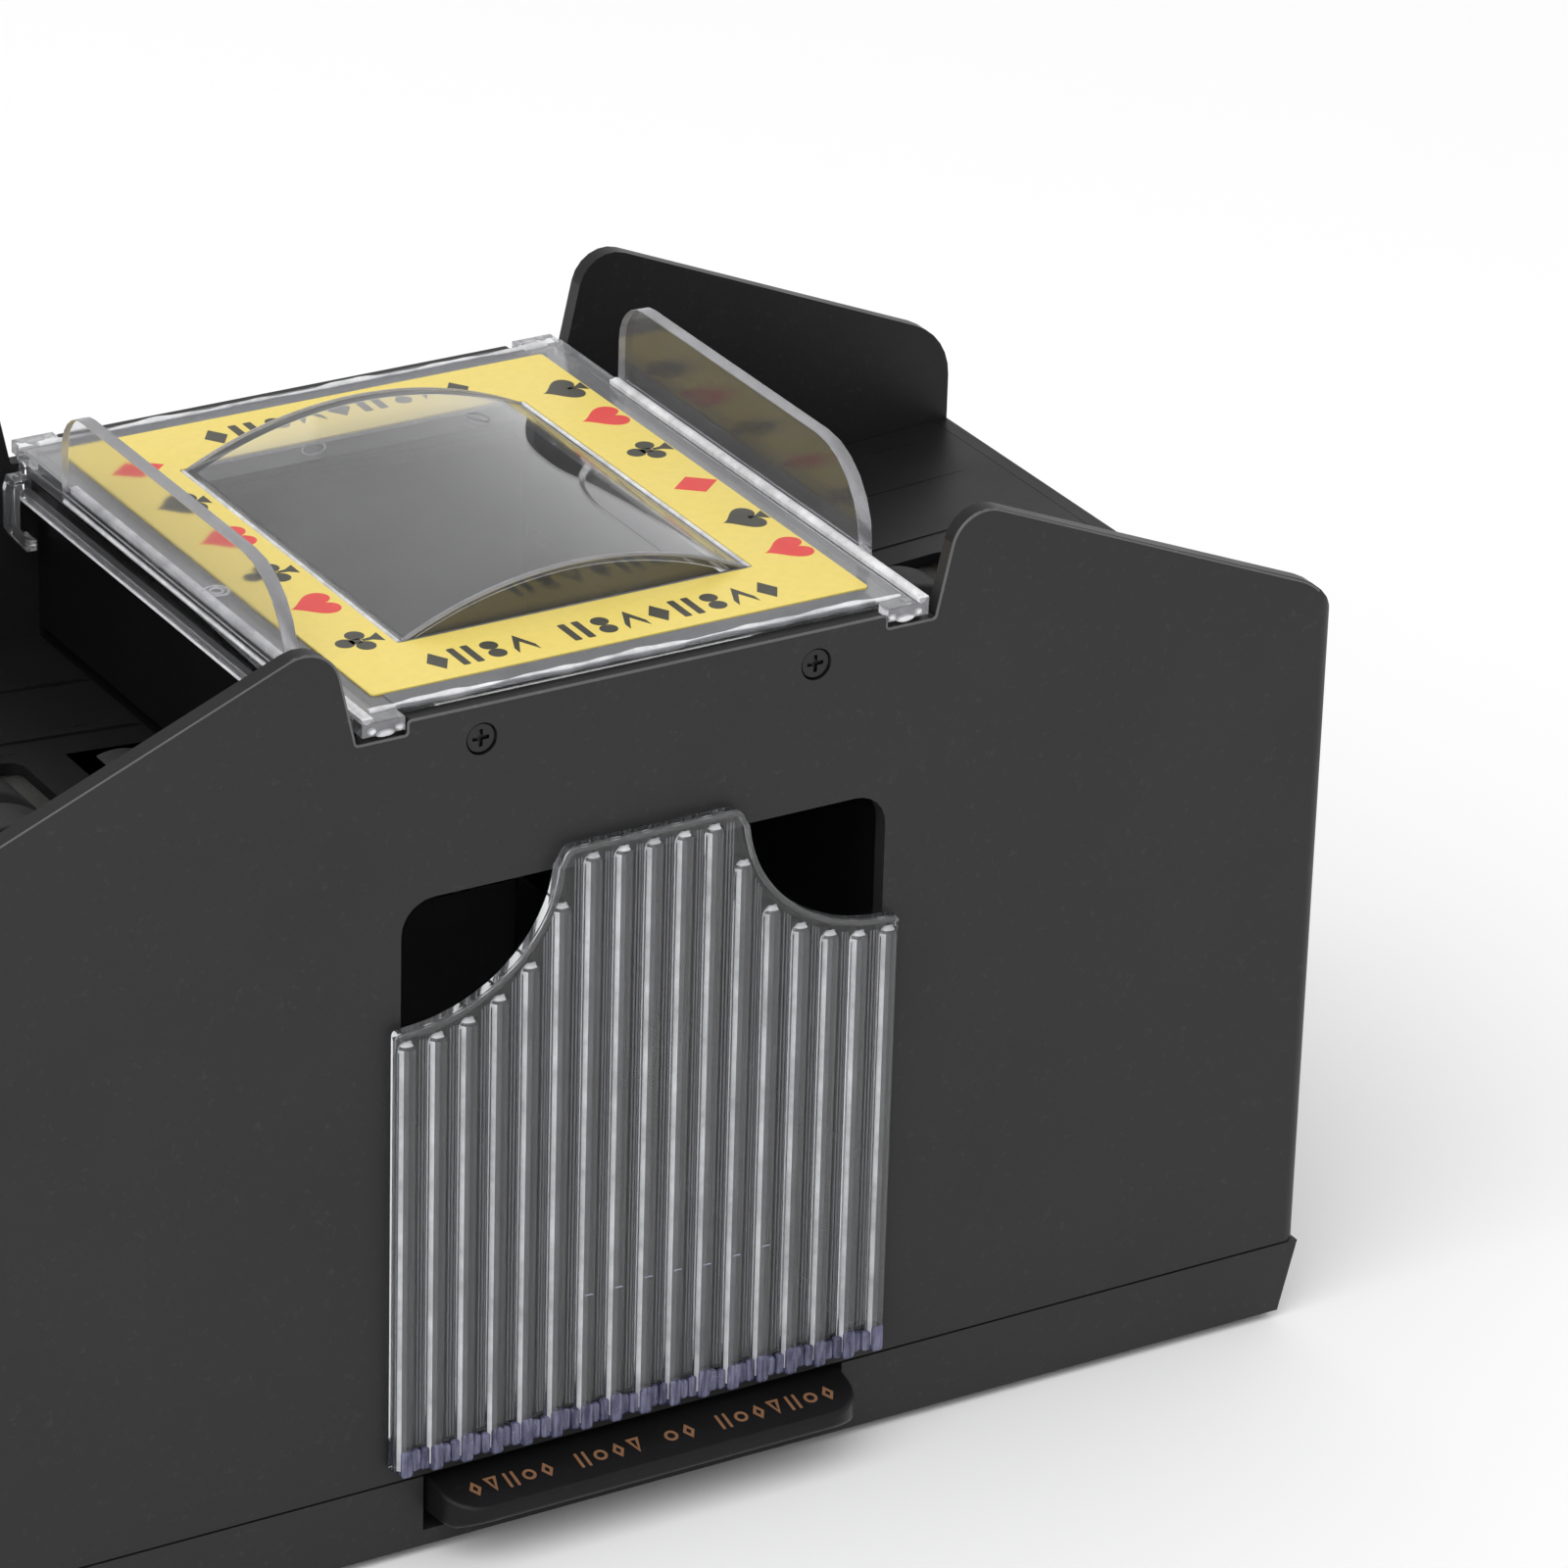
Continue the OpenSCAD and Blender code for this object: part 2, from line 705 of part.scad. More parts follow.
// Shaft with its gear and the hubs that carry the tyres
module roller_shaft(c, n, phase, hub_r) {
    rod_y(c, shaft_d / 2, plate_front_y - 0.8, layer1_y + gear_w);
    gear_y(c, n, phase, layer1_y);
    for (s = [-1, 1])
        rod_y(c, hub_r, mid_y + s * (tyre_gap + tyre_w) / 2 - tyre_w / 2,
            mid_y + s * (tyre_gap + tyre_w) / 2 + tyre_w / 2);
    rod_y(c, shaft_d / 2 + 1, mid_y - tyre_gap, mid_y + tyre_gap);
}
module roller_tyres(c, r, hub_r) {
    for (s = [-1, 1])
        difference() {
            rod_y(c, r, mid_y + s * (tyre_gap + tyre_w) / 2 - tyre_w / 2,
                mid_y + s * (tyre_gap + tyre_w) / 2 + tyre_w / 2);
            rod_y(c, hub_r, mid_y + s * (tyre_gap + tyre_w) / 2 - tyre_w,
                mid_y + s * (tyre_gap + tyre_w) / 2 + tyre_w);
        }
}
feed_hub_r = feed_d / 2 - 3;
exit_hub_r = exit_d / 2 - 2.5;
module left_feed_shaft() {
    color([0.9, 0.9, 0.88])
        left()
            roller_shaft(feed_c, feed_teeth, feed_phase, feed_hub_r);
}
module right_feed_shaft() {
    color([0.9, 0.9, 0.88])
        roller_shaft(feed_c, feed_teeth, feed_phase, feed_hub_r);
}
module left_feed_tyres() {
    color([0.07, 0.07, 0.07])
        left()
            roller_tyres(feed_c, feed_d / 2, feed_hub_r);
}
module right_feed_tyres() {
    color([0.07, 0.07, 0.07])
        roller_tyres(feed_c, feed_d / 2, feed_hub_r);
}
module left_exit_shaft() {
    color([0.9, 0.9, 0.88])
        left()
            roller_shaft(exit_c, exit_teeth, exit_phase, exit_hub_r);
}
module right_exit_shaft() {
    color([0.9, 0.9, 0.88])
        roller_shaft(exit_c, exit_teeth, exit_phase, exit_hub_r);
}
module left_exit_tyres() {
    color([0.07, 0.07, 0.07])
        left()
            roller_tyres(exit_c, exit_d / 2, exit_hub_r);
}
module right_exit_tyres() {
    color([0.07, 0.07, 0.07])
        roller_tyres(exit_c, exit_d / 2, exit_hub_r);
}

// ---- drawer ----
notch_rz = panel_peak_h - 0.8 - panel_side_h;
notch_cx = panel_half_w - 1;
notch_cz = panel_side_h + notch_rz;
// Height of the drawer front at distance x from its middle
function panel_top(x) = abs(x) > notch_cx ? panel_side_h
    : abs(x) < notch_cx - notch_rx ? panel_peak_h
    : notch_cz - notch_rz * sqrt(1 - ((notch_cx - abs(x)) / notch_rx) ^ 2);
module panel_outline() {
    half = concat(
        [[panel_half_w, panel_z], [panel_half_w, panel_side_h - 0.8], [panel_half_w - 0.8, panel_side_h]],
        [for (a = [-90:7.5:-7.5]) [notch_cx - notch_rx * cos(a), notch_cz + notch_rz * sin(a)]],
        [for (q = arc([notch_cx - notch_rx - 2.2, panel_peak_h - 1.6], 1.6, 0, 90, 5)) q]
    );
    polygon(concat(half, [for (i = [len(half) - 1:-1:0]) [-half[i].x, half[i].y]]));
}
module card_drawer() {
    pitch = 2 * (panel_half_w - rib_r - 0.15) / (rib_count - 1);
    back = wall_front_y - 0.05;
    color([0.85, 0.87, 0.88, 0.35])
    union() {
        extrude_y(panel_face_y, back)
            panel_outline();
        intersection() {
            union()
                for (i = [0:rib_count - 1]) {
                    x = -panel_half_w + rib_r + 0.15 + i * pitch;
                    top = min(panel_top(x - rib_r), panel_top(x + rib_r)) - 1.2 - rib_r;
                    translate([x, panel_face_y + rib_sink, panel_z]) {
                        cylinder(r = rib_r, h = top - panel_z, $fn = 24);
                        translate([0, 0, top - panel_z])
                            sphere(r = rib_r, $fn = 24);
                    }
                }
            block([-panel_half_w, panel_half_w], [panel_face_y - 3, panel_face_y + 0.4], [panel_z, panel_peak_h]);
        }
        block([-drawer_half_w, drawer_half_w], [back - 0.1, drawer_back_y], [drawer_z, drawer_z + drawer_wall]);
        both_sides()
            block([drawer_half_w - drawer_wall, drawer_half_w], [back - 0.1, drawer_back_y],
                [drawer_z, drawer_z + drawer_side_h]);
        block([-drawer_half_w, drawer_half_w], [drawer_back_y - drawer_wall, drawer_back_y],
            [drawer_z, drawer_z + drawer_side_h]);
    }
}

// ---- cover ----
vault_r = (vault_half_w ^ 2 + vault_rise ^ 2) / (2 * vault_rise);
module vault_section(t) {
    r = vault_r - t;
    drop = cover_h + vault_rise - vault_r;
    low = cover_h - 0.5;
    a = acos((low - drop) / r);
    polygon(concat(arc([0, drop], r, 90 - a, 90 + a, 24), [[-r * sin(a), cover_z], [r * sin(a), cover_z]]));
}
// Fin along the side of the plate; its foot laps over the plate's edge
module fin_outline() {
    polygon(round_path([
        [fin_y[0], cover_h - fin_foot, 0],
        [fin_y[1], cover_h - fin_foot, 0],
        [fin_y[1], cover_h + fin_h, 6],
        [fin_y[0], cover_h + fin_h, 11.5]
    ]));
}
module cover_side() {
    extrude_x(fin_x[0], fin_x[1])
        fin_outline();
    // Skirt down the side of the plate
    block([cover_half_w - skirt_t, cover_half_w], [inner_front_y + 0.6, inner_back_y - 0.6], [skirt_z, cover_h]);
    // Low ridge along the fin's inner foot, on into the front notch
    block(ridge_x, [wall_front_y + 0.2, fin_y[1]], [cover_h - 0.1, cover_h + ridge_h]);
    // Tabs that sit in the notches of the front and back walls
    for (m = [0, 1])
        translate([0, 2 * mid_y * m, 0])
            mirror([0, m, 0]) {
                block(tab_x, [wall_front_y + 0.2, inner_front_y - 0.05], [tab_z, cover_h]);
                block(tab_x, [wall_front_y + 0.2, inner_front_y + 0.6], [cover_z + 0.2, cover_h]);
            }
    // Bowed clips at the four corners of the skirt
    for (y = [inner_front_y + 1.2, inner_back_y - 4.2])
        extrude_y(y, y + 3)
            polygon([
                [cover_half_w - 0.6, 115], [cover_half_w + 2.2, 115], [cover_half_w + 2.6, 113.4],
                [cover_half_w + 2.6, 107.6], [cover_half_w + 0.6, 104.8], [cover_half_w - 0.8, 104.8],
                [cover_half_w - 0.8, 106.3], [cover_half_w, 106.3], [cover_half_w + 1.5, 108.2],
                [cover_half_w + 1.5, 113.7], [cover_half_w - 0.6, 113.7]
            ]);
}
module top_cover() {
    color([0.88, 0.9, 0.92, 0.3])
    difference() {
        union() {
            block([-cover_half_w, cover_half_w], [inner_front_y + 0.2, inner_back_y - 0.2], [cover_z, cover_h]);
            both_sides()
                cover_side();
            extrude_y(vault_y[0], vault_y[1])
                vault_section(0);
        }
        extrude_y(vault_y[0] + vault_t, vault_y[1] - vault_t)
            translate([0, -0.01])
                vault_section(vault_t);
    }
}
module top_label() {
    color([0.93, 0.84, 0.42])
        difference() {
            block([-label_half_w, label_half_w], label_y, [cover_h + 0.02, cover_h + label_t]);
            block([-vault_half_w - 0.4, vault_half_w + 0.4], [vault_y[0] - 0.4, vault_y[1] + 0.4],
                [cover_h - 1, cover_h + 1]);
        }
}

// ---- press bar and switch ----
module press_bar() {
    color([0.1, 0.1, 0.1])
    union() {
        intersection() {
            extrude_x(-bar_half_w, bar_half_w)
                polygon([
                    [bar_flange_y + 1, bar_top], [wall_front_y, bar_top], [front_y, bar_top - 1.9],
                    [front_y, 7.2], [front_y + 2.6, 6], [bar_flange_y + 1, 6]
                ]);
            linear_extrude(20)
                polygon(round_path([
                    [-bar_half_w, bar_flange_y + 2, 0], [-bar_half_w, front_y, 5.5],
                    [bar_half_w, front_y, 5.5], [bar_half_w, bar_flange_y + 2, 0]
                ]));
        }
        // Flange behind the rim of the base pan, hollow over the switch lever
        difference() {
            block([-bar_flange_half_w, bar_flange_half_w], [bar_flange_y, bar_flange_y + 7], [bar_top - 2.2, bar_top]);
            block([nose_x - lever_len - 2, nose_x + 2.2], [bar_flange_y + 1.7, bar_flange_y + 8],
                [bar_top - 3, bar_top - 0.9]);
        }
        block([-bar_half_w, bar_half_w], [bar_flange_y, bar_flange_y + 1.6], [6, bar_top]);
        // Nose over the switch lever
        rod_y([nose_x, lever_top + 0.1 + nose_r], nose_r, switch_y - 1.5, switch_y + 1.5);
        block([nose_x - nose_r, nose_x + nose_r], [switch_y - 1.5, switch_y + 1.5],
            [lever_top + 0.1 + nose_r, bar_top - 0.5]);
    }
}
module press_springs() {
    color("silver")
        both_sides()
            translate([spring_x, spring_y, floor_top + 0.02])
                difference() {
                    cylinder(r = 2.2, h = bar_top - 2.2 - floor_top - 0.04);
                    translate([0, 0, -1])
                        cylinder(r = 1.7, h = 12);
                }
}
module switch_body() {
    color([0.15, 0.15, 0.16])
        difference() {
            block([-10, 10], [switch_y - 2.6, switch_y + 2.6], [floor_top + 0.02, lever_top - 2.2]);
            for (x = [-7, 7])
                rod_y([x, floor_top + 1.2], 0.7, switch_y - 3, switch_y + 3);
        }
    // Ears that hold the lever pivot
    color([0.15, 0.15, 0.16])
        for (s = [-1, 1])
            difference() {
                block([nose_x - lever_len - 1.4, nose_x - lever_len + 1.4],
                    s > 0 ? [switch_y + 1.6, switch_y + 2.6] : [switch_y - 2.6, switch_y - 1.6],
                    [lever_top - 2.3, lever_top + 0.6]);
                rod_y([nose_x - lever_len, lever_top - lever_t / 2], 0.55, switch_y - 3, switch_y + 3);
            }
}
module switch_lever() {
    color([0.8, 0.78, 0.7]) {
        block([nose_x - lever_len, nose_x + 1.6], [switch_y - 1.4, switch_y + 1.4], [lever_top - lever_t, lever_top]);
        rod_y([nose_x - lever_len, lever_top - lever_t / 2], 0.5, switch_y - 2.5, switch_y + 2.5);
    }
}

// ---- batteries ----
module battery_door() {
    x0 = bay_x[0] + bay_wall - 0.8;
    y0 = bay_y[0] + bay_wall + door_gap;
    y1 = bay_y[1] - bay_wall - door_gap;
    color([0.12, 0.12, 0.125])
        difference() {
            union() {
                extrude_y(y0, y1)
                    polygon([
                        [x0, foot_h], [half_w - base_chamfer, foot_h],
                        [half_w - base_chamfer * (1 - door_t / (base_top - foot_h)), door_top], [x0, door_top]
                    ]);
                extrude_y(y0 - door_tongue, y1 + door_tongue)
                    polygon([
                        [x0, door_top - 0.8], [half_w - base_chamfer - 0.5, door_top - 0.8],
                        [half_w - base_chamfer - 0.5, door_top], [x0, door_top]
                    ]);
            }
            // Finger grooves
            for (i = [0:4])
                block([80 + 3 * i, 81.4 + 3 * i], [mid_y - 9, mid_y + 9], [foot_h - 1, foot_h + 0.6]);
        }
}
function cell_x(i) = cell_x0 + i * cell_pitch;
// Cells point alternately to the back and to the front
module battery_cells() {
    color([0.15, 0.3, 0.55])
        for (i = [0:3])
            translate([0, mid_y, 0])
                mirror([0, i % 2, 0]) {
                    rod_y([cell_x(i), cell_z], cell_r, -cell_len / 2, cell_len / 2);
                    rod_y([cell_x(i), cell_z], 2.7, cell_len / 2 - 0.1, cell_len / 2 + 1);
                }
}
contact_y = 28.9;
module battery_contacts() {
    color([0.8, 0.8, 0.78])
        for (s = [-1, 1])
            for (i = [0:3])
                block([cell_x(i) - 4.5, cell_x(i) + 4.5],
                    s > 0 ? [mid_y + contact_y, mid_y + contact_y + 0.4]
                        : [mid_y - contact_y - 0.4, mid_y - contact_y],
                    [cell_z - 4.5, cell_z + 4.5]);
}
module battery_springs() {
    color("silver")
        for (i = [0:3])
            translate([0, mid_y, 0])
                mirror([0, (i + 1) % 2, 0])
                    difference() {
                        rod_y([cell_x(i), cell_z], 3, cell_len / 2 + 0.02, contact_y - 0.02);
                        rod_y([cell_x(i), cell_z], 2.4, cell_len / 2 - 1, contact_y + 1);
                    }
}

// ---- wiring, screws, feet ----
module wire(p) {
    for (i = [0:len(p) - 2]) {
        d = p[i + 1] - p[i];
        translate(p[i])
            rotate([0, acos(d.z / norm(d)), atan2(d.y, d.x)])
                cylinder(r = 0.6, h = norm(d), $fn = 16);
        translate(p[i + 1])
            sphere(r = 0.6, $fn = 16);
    }
}
module wiring() {
    tail_y = plate_rear_y - motor_len - 4.8;
    color([0.7, 0.1, 0.1])
        both_sides() {
            wire([[motor_c.x - 7, tail_y, motor_c.y], [motor_c.x - 7, tail_y - 6, motor_c.y],
                [motor_c.x - 7, tail_y - 6, 26], [42, tail_y - 6, 26], [42, -33, 26], [42, -33, 5]]);
            wire([[motor_c.x + 7, tail_y, motor_c.y], [motor_c.x + 7, tail_y - 8, motor_c.y],
                [motor_c.x + 7, tail_y - 8, 24], [46, tail_y - 8, 24], [46, -33, 24], [46, -33, 5]]);
        }
}
// Countersunk-flat round head with a cross recess, pointing along -Z
module screw(len, head_r = screw_head_r) {
    difference() {
        union() {
            translate([0, 0, -0.9])
                cylinder(r = head_r, h = 0.9);
            translate([0, 0, -len])
                cylinder(r = screw_r - 0.05, h = len - 0.5, $fn = 32);
        }
        for (a = [0, 90])
            rotate([0, 0, a])
                translate([-0.6 * head_r, -0.25, -0.6])
                    cube([1.2 * head_r, 0.5, 1]);
    }
}
module wall_screws() {
    color([0.2, 0.2, 0.2])
        both_sides() {
            translate([wall_screw_x, wall_front_y + 0.25, wall_screw_z])
                rotate([90, 0, 0])
                    screw(7, wall_head_r);
            translate([wall_screw_x, wall_back_y - 0.25, wall_screw_z])
                rotate([-90, 0, 0])
                    screw(7, wall_head_r);
        }
}
module base_screws() {
    color([0.3, 0.3, 0.3])
        for (y = base_screw_y)
            both_sides()
                translate([base_screw_x, y, foot_h + 0.1])
                    rotate([180, 0, 0])
                        screw(12);
}
module bracket_screws() {
    color("silver")
        both_sides()
            for (z = [38, 66])
                translate([div_out + 2.9, mid_y, z])
                    rotate([0, 90, 0])
                        screw(4.6);
}
module motor_screws() {
    color("silver")
        both_sides()
            for (s = [-1, 1])
                translate([motor_c.x + s * motor_screw_x, plate_rear_y + plate_t + 0.9, motor_c.y])
                    rotate([-90, 0, 0])
                        difference() {
                            union() {
                                translate([0, 0, -0.9])
                                    cylinder(r = 1.9, h = 0.9);
                                translate([0, 0, -5])
                                    cylinder(r = 0.95, h = 4.5, $fn = 32);
                            }
                            translate([-1.2, -0.25, -0.4])
                                cube([2.4, 0.5, 1]);
                        }
}
module rubber_feet() {
    color([0.25, 0.25, 0.25])
        for (y = foot_y)
            both_sides()
                translate([foot_x, y, 0])
                    cylinder(r = foot_r, h = foot_h + 0.75);
}

front_shell();
back_shell();
base_pan();
left_divider();
right_divider();
front_crossbar();
rear_crossbar();
left_feed_tray();
right_feed_tray();
left_gear_bracket();
right_gear_bracket();
left_motor();
right_motor();
left_motor_pinion();
right_motor_pinion();
left_reduction_gear();
right_reduction_gear();
left_idler_gear();
right_idler_gear();
left_gear_pins();
right_gear_pins();
left_feed_shaft();
right_feed_shaft();
left_feed_tyres();
right_feed_tyres();
left_exit_shaft();
right_exit_shaft();
left_exit_tyres();
right_exit_tyres();
card_drawer();
top_cover();
top_label();
press_bar();
press_springs();
switch_body();
switch_lever();
battery_door();
battery_cells();
battery_contacts();
battery_springs();
wiring();
wall_screws();
base_screws();
bracket_screws();
motor_screws();
rubber_feet();
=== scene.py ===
"""Looks of the card shuffler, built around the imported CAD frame. Metres, Z up, front towards -Y."""
import math

import bmesh
import bpy
from mathutils import Matrix, Vector


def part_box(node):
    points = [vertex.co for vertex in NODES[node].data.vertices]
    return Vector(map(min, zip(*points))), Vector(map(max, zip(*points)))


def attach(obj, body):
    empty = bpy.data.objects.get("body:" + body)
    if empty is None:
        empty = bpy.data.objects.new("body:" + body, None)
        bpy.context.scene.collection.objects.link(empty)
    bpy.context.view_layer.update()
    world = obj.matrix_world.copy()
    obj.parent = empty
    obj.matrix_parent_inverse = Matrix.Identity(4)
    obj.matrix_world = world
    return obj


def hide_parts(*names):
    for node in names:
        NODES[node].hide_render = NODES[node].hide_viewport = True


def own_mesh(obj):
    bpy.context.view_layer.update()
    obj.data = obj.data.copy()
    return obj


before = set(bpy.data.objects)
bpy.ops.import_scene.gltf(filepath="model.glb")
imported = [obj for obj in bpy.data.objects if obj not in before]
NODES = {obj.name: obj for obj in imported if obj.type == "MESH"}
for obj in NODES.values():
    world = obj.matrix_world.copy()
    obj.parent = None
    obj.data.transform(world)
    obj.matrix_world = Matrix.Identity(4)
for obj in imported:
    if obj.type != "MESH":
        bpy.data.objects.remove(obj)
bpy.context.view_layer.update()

MM = 0.001
SIDES = ("left", "right")


def box_mm(node):
    """Lowest and highest corner of a CAD node in mm."""
    low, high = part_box(node)
    return Vector(low) / MM, Vector(high) / MM


# ------------------------------------------------------------------ materials

def new_material(name):
    """An empty node material: the material, its node tree and its output node."""
    mat = bpy.data.materials.new(name)
    mat.use_nodes = True
    tree = mat.node_tree
    tree.nodes.clear()
    out = tree.nodes.new("ShaderNodeOutputMaterial")
    return mat, tree, out


def link(tree, a, a_out, b, b_in):
    tree.links.new(a.outputs[a_out], b.inputs[b_in])


def noise(tree, scale, detail=4.0, rough=0.55, stretch=(1, 1, 1)):
    """3D noise in object coordinates. Scale is in features per metre."""
    coords = tree.nodes.new("ShaderNodeTexCoord")
    mapping = tree.nodes.new("ShaderNodeMapping")
    mapping.inputs["Scale"].default_value = stretch
    tex = tree.nodes.new("ShaderNodeTexNoise")
    tex.inputs["Scale"].default_value = scale
    tex.inputs["Detail"].default_value = detail
    tex.inputs["Roughness"].default_value = rough
    link(tree, coords, "Object", mapping, "Vector")
    link(tree, mapping, "Vector", tex, "Vector")
    return tex


def ramp(tree, source, out_name, low, high, start=0.3, end=0.7):
    """Maps a 0 to 1 value onto low..high between start and end."""
    node = tree.nodes.new("ShaderNodeMapRange")
    node.inputs["From Min"].default_value = start
    node.inputs["From Max"].default_value = end
    node.inputs["To Min"].default_value = low
    node.inputs["To Max"].default_value = high
    link(tree, source, out_name, node, "Value")
    return node


def mix_colour(tree, factor, factor_out, a, b):
    """Blends colour a into colour b by a 0 to 1 value."""
    node = tree.nodes.new("ShaderNodeMix")
    node.data_type = "RGBA"
    node.inputs["A"].default_value = (*a, 1)
    node.inputs["B"].default_value = (*b, 1)
    link(tree, factor, factor_out, node, "Factor")
    return node


def bump(tree, height, out_name, strength, distance):
    """Relief from a 0 to 1 height; distance is in metres."""
    node = tree.nodes.new("ShaderNodeBump")
    node.inputs["Strength"].default_value = strength
    node.inputs["Distance"].default_value = distance
    link(tree, height, out_name, node, "Height")
    return node


def add_values(tree, a, b):
    """Sum of two mapped values."""
    node = tree.nodes.new("ShaderNodeMath")
    node.operation = "ADD"
    link(tree, a, "Result", node, 0)
    link(tree, b, "Result", node, 1)
    return node


def mix_shaders(tree, factor, first, second, out):
    """Blends two shaders by a 0 to 1 value, as the material's surface."""
    both = tree.nodes.new("ShaderNodeMixShader")
    link(tree, factor, "Result", both, 0)
    link(tree, first, "BSDF", both, 1)
    link(tree, second, "BSDF", both, 2)
    link(tree, both, "Shader", out, "Surface")


def moulded_plastic(name, colour, rough, specular=0.3, grain=2600, grain_depth=0.04, scuffs=0.0):
    """Injection-moulded plastic: fine spark grain, slow gloss variation, optional hairline scuffs."""
    mat, tree, out = new_material(name)
    body = tree.nodes.new("ShaderNodeBsdfPrincipled")
    cloud = noise(tree, 22, 3)
    speck = noise(tree, 900, 2)
    tint = mix_colour(tree, cloud, "Fac", [c * 0.86 for c in colour], [c * 1.14 for c in colour])
    dust = tree.nodes.new("ShaderNodeMix")
    dust.data_type = "RGBA"
    dust.inputs["B"].default_value = (*[c * 1.6 + 0.004 for c in colour], 1)
    link(tree, tint, "Result", dust, "A")
    link(tree, ramp(tree, speck, "Fac", 0.0, 0.55, 0.62, 0.75), "Result", dust, "Factor")
    link(tree, dust, "Result", body, "Base Color")
    gloss = ramp(tree, noise(tree, 60, 5), "Fac", rough[0], rough[1])
    if scuffs:
        hairs = ramp(tree, noise(tree, 120, 9, 0.75, (0.25, 2.2, 1)), "Fac", 0.0, -scuffs, 0.60, 0.68)
        link(tree, add_values(tree, gloss, hairs), "Value", body, "Roughness")
    else:
        link(tree, gloss, "Result", body, "Roughness")
    body.inputs["Specular IOR Level"].default_value = specular
    grains = bump(tree, noise(tree, grain, 2), "Fac", 0.4, grain_depth * MM)
    link(tree, grains, "Normal", body, "Normal")
    link(tree, body, "BSDF", out, "Surface")
    return mat


def clear_plastic(name, tint, rough=0.015, wave=0.02, ior=1.49, haze=0.03, scuffs=0.09):
    """Clear styrene: refraction, a faint tint, flow waviness, hairline scuffs and a slight milky haze."""
    mat, tree, out = new_material(name)
    body = tree.nodes.new("ShaderNodeBsdfPrincipled")
    cloud = noise(tree, 35, 2)
    clouded = mix_colour(tree, cloud, "Fac", [c * 0.985 for c in tint], tint)
    link(tree, clouded, "Result", body, "Base Color")
    body.inputs["Transmission Weight"].default_value = 1.0
    body.inputs["IOR"].default_value = ior
    hairs = noise(tree, 300, 7, 0.7, (1, 0.2, 1))
    link(tree, ramp(tree, hairs, "Fac", rough, rough + scuffs, 0.6, 0.75), "Result", body, "Roughness")
    link(tree, bump(tree, noise(tree, 45, 1), "Fac", 0.3, wave * MM), "Normal", body, "Normal")
    milk = tree.nodes.new("ShaderNodeBsdfDiffuse")
    milk.inputs["Color"].default_value = (0.86, 0.87, 0.90, 1)
    mix_shaders(tree, ramp(tree, noise(tree, 40, 4), "Fac", haze * 0.7, haze * 1.3), body, milk, out)
    return mat


def clear_rim(name, colour, haze):
    """The cut and drafted rims of a clear moulding, frosted so they catch light and read as pale lines; also
    used as painted highlight on beads, glints and rib flanks.
    """
    mat, tree, out = new_material(name)
    clear = tree.nodes.new("ShaderNodeBsdfPrincipled")
    clear.inputs["Base Color"].default_value = (*colour, 1)
    clear.inputs["Transmission Weight"].default_value = 1.0
    clear.inputs["IOR"].default_value = 1.49
    clear.inputs["Roughness"].default_value = 0.25
    frost = tree.nodes.new("ShaderNodeBsdfPrincipled")
    tint = mix_colour(tree, noise(tree, 500, 5), "Fac", [c * 0.8 for c in colour], colour)
    link(tree, tint, "Result", frost, "Base Color")
    link(tree, ramp(tree, noise(tree, 350, 4), "Fac", 0.15, 0.35), "Result", frost, "Roughness")
    amount = ramp(tree, noise(tree, 180, 5, 0.65), "Fac", haze * 0.6, haze * 1.3)
    mix_shaders(tree, amount, clear, frost, out)
    return mat


def toe_plastic(name):
    """The thick drafted foot of the drawer front: violet-grey, with lighter vertical streaks from rib to rib
    painted in as highlights.
    """
    mat, tree, out = new_material(name)
    body = tree.nodes.new("ShaderNodeBsdfPrincipled")
    streak = ramp(tree, noise(tree, 900, 3, 0.6, (1.6, 1, 0.25)), "Fac", 0.0, 1.0, 0.36, 0.66)
    # Painted highlight: the lighter streaks stand in for the rib highlights seen through the foot; the
    # violet tint is the plastic's own.
    tint = mix_colour(tree, streak, "Result", (0.045, 0.045, 0.12), (0.32, 0.32, 0.50))
    link(tree, tint, "Result", body, "Base Color")
    body.inputs["Transmission Weight"].default_value = 0.55
    body.inputs["IOR"].default_value = 1.49
    link(tree, ramp(tree, noise(tree, 400, 4), "Fac", 0.12, 0.3), "Result", body, "Roughness")
    link(tree, body, "BSDF", out, "Surface")
    return mat


def printed(name, colour, rough=0.34):
    """Offset print on gloss paper: slight ink mottling under a thin varnish."""
    mat, tree, out = new_material(name)
    body = tree.nodes.new("ShaderNodeBsdfPrincipled")
    low = [c * 0.93 for c in colour]
    high = [min(1, c * 1.05) for c in colour]
    link(tree, mix_colour(tree, noise(tree, 800, 3), "Fac", low, high), "Result", body, "Base Color")
    gloss = ramp(tree, noise(tree, 120, 3), "Fac", rough - 0.06, rough + 0.08)
    link(tree, gloss, "Result", body, "Roughness")
    body.inputs["Specular IOR Level"].default_value = 0.4
    link(tree, bump(tree, noise(tree, 300, 2), "Fac", 0.2, 0.02 * MM), "Normal", body, "Normal")
    link(tree, body, "BSDF", out, "Surface")
    return mat


def metal(name, colour, rough, brushed=(1, 1, 1), grain=700):
    """Bare metal with fine streaks in its tint and gloss; brushed stretches them."""
    mat, tree, out = new_material(name)
    body = tree.nodes.new("ShaderNodeBsdfPrincipled")
    body.inputs["Metallic"].default_value = 1.0
    streak = noise(tree, grain, 4, 0.6, brushed)
    tint = mix_colour(tree, streak, "Fac", [c * 0.85 for c in colour], colour)
    link(tree, tint, "Result", body, "Base Color")
    link(tree, ramp(tree, streak, "Fac", rough - 0.07, rough + 0.1), "Result", body, "Roughness")
    link(tree, bump(tree, streak, "Fac", 0.15, 0.02 * MM), "Normal", body, "Normal")
    link(tree, body, "BSDF", out, "Surface")
    return mat


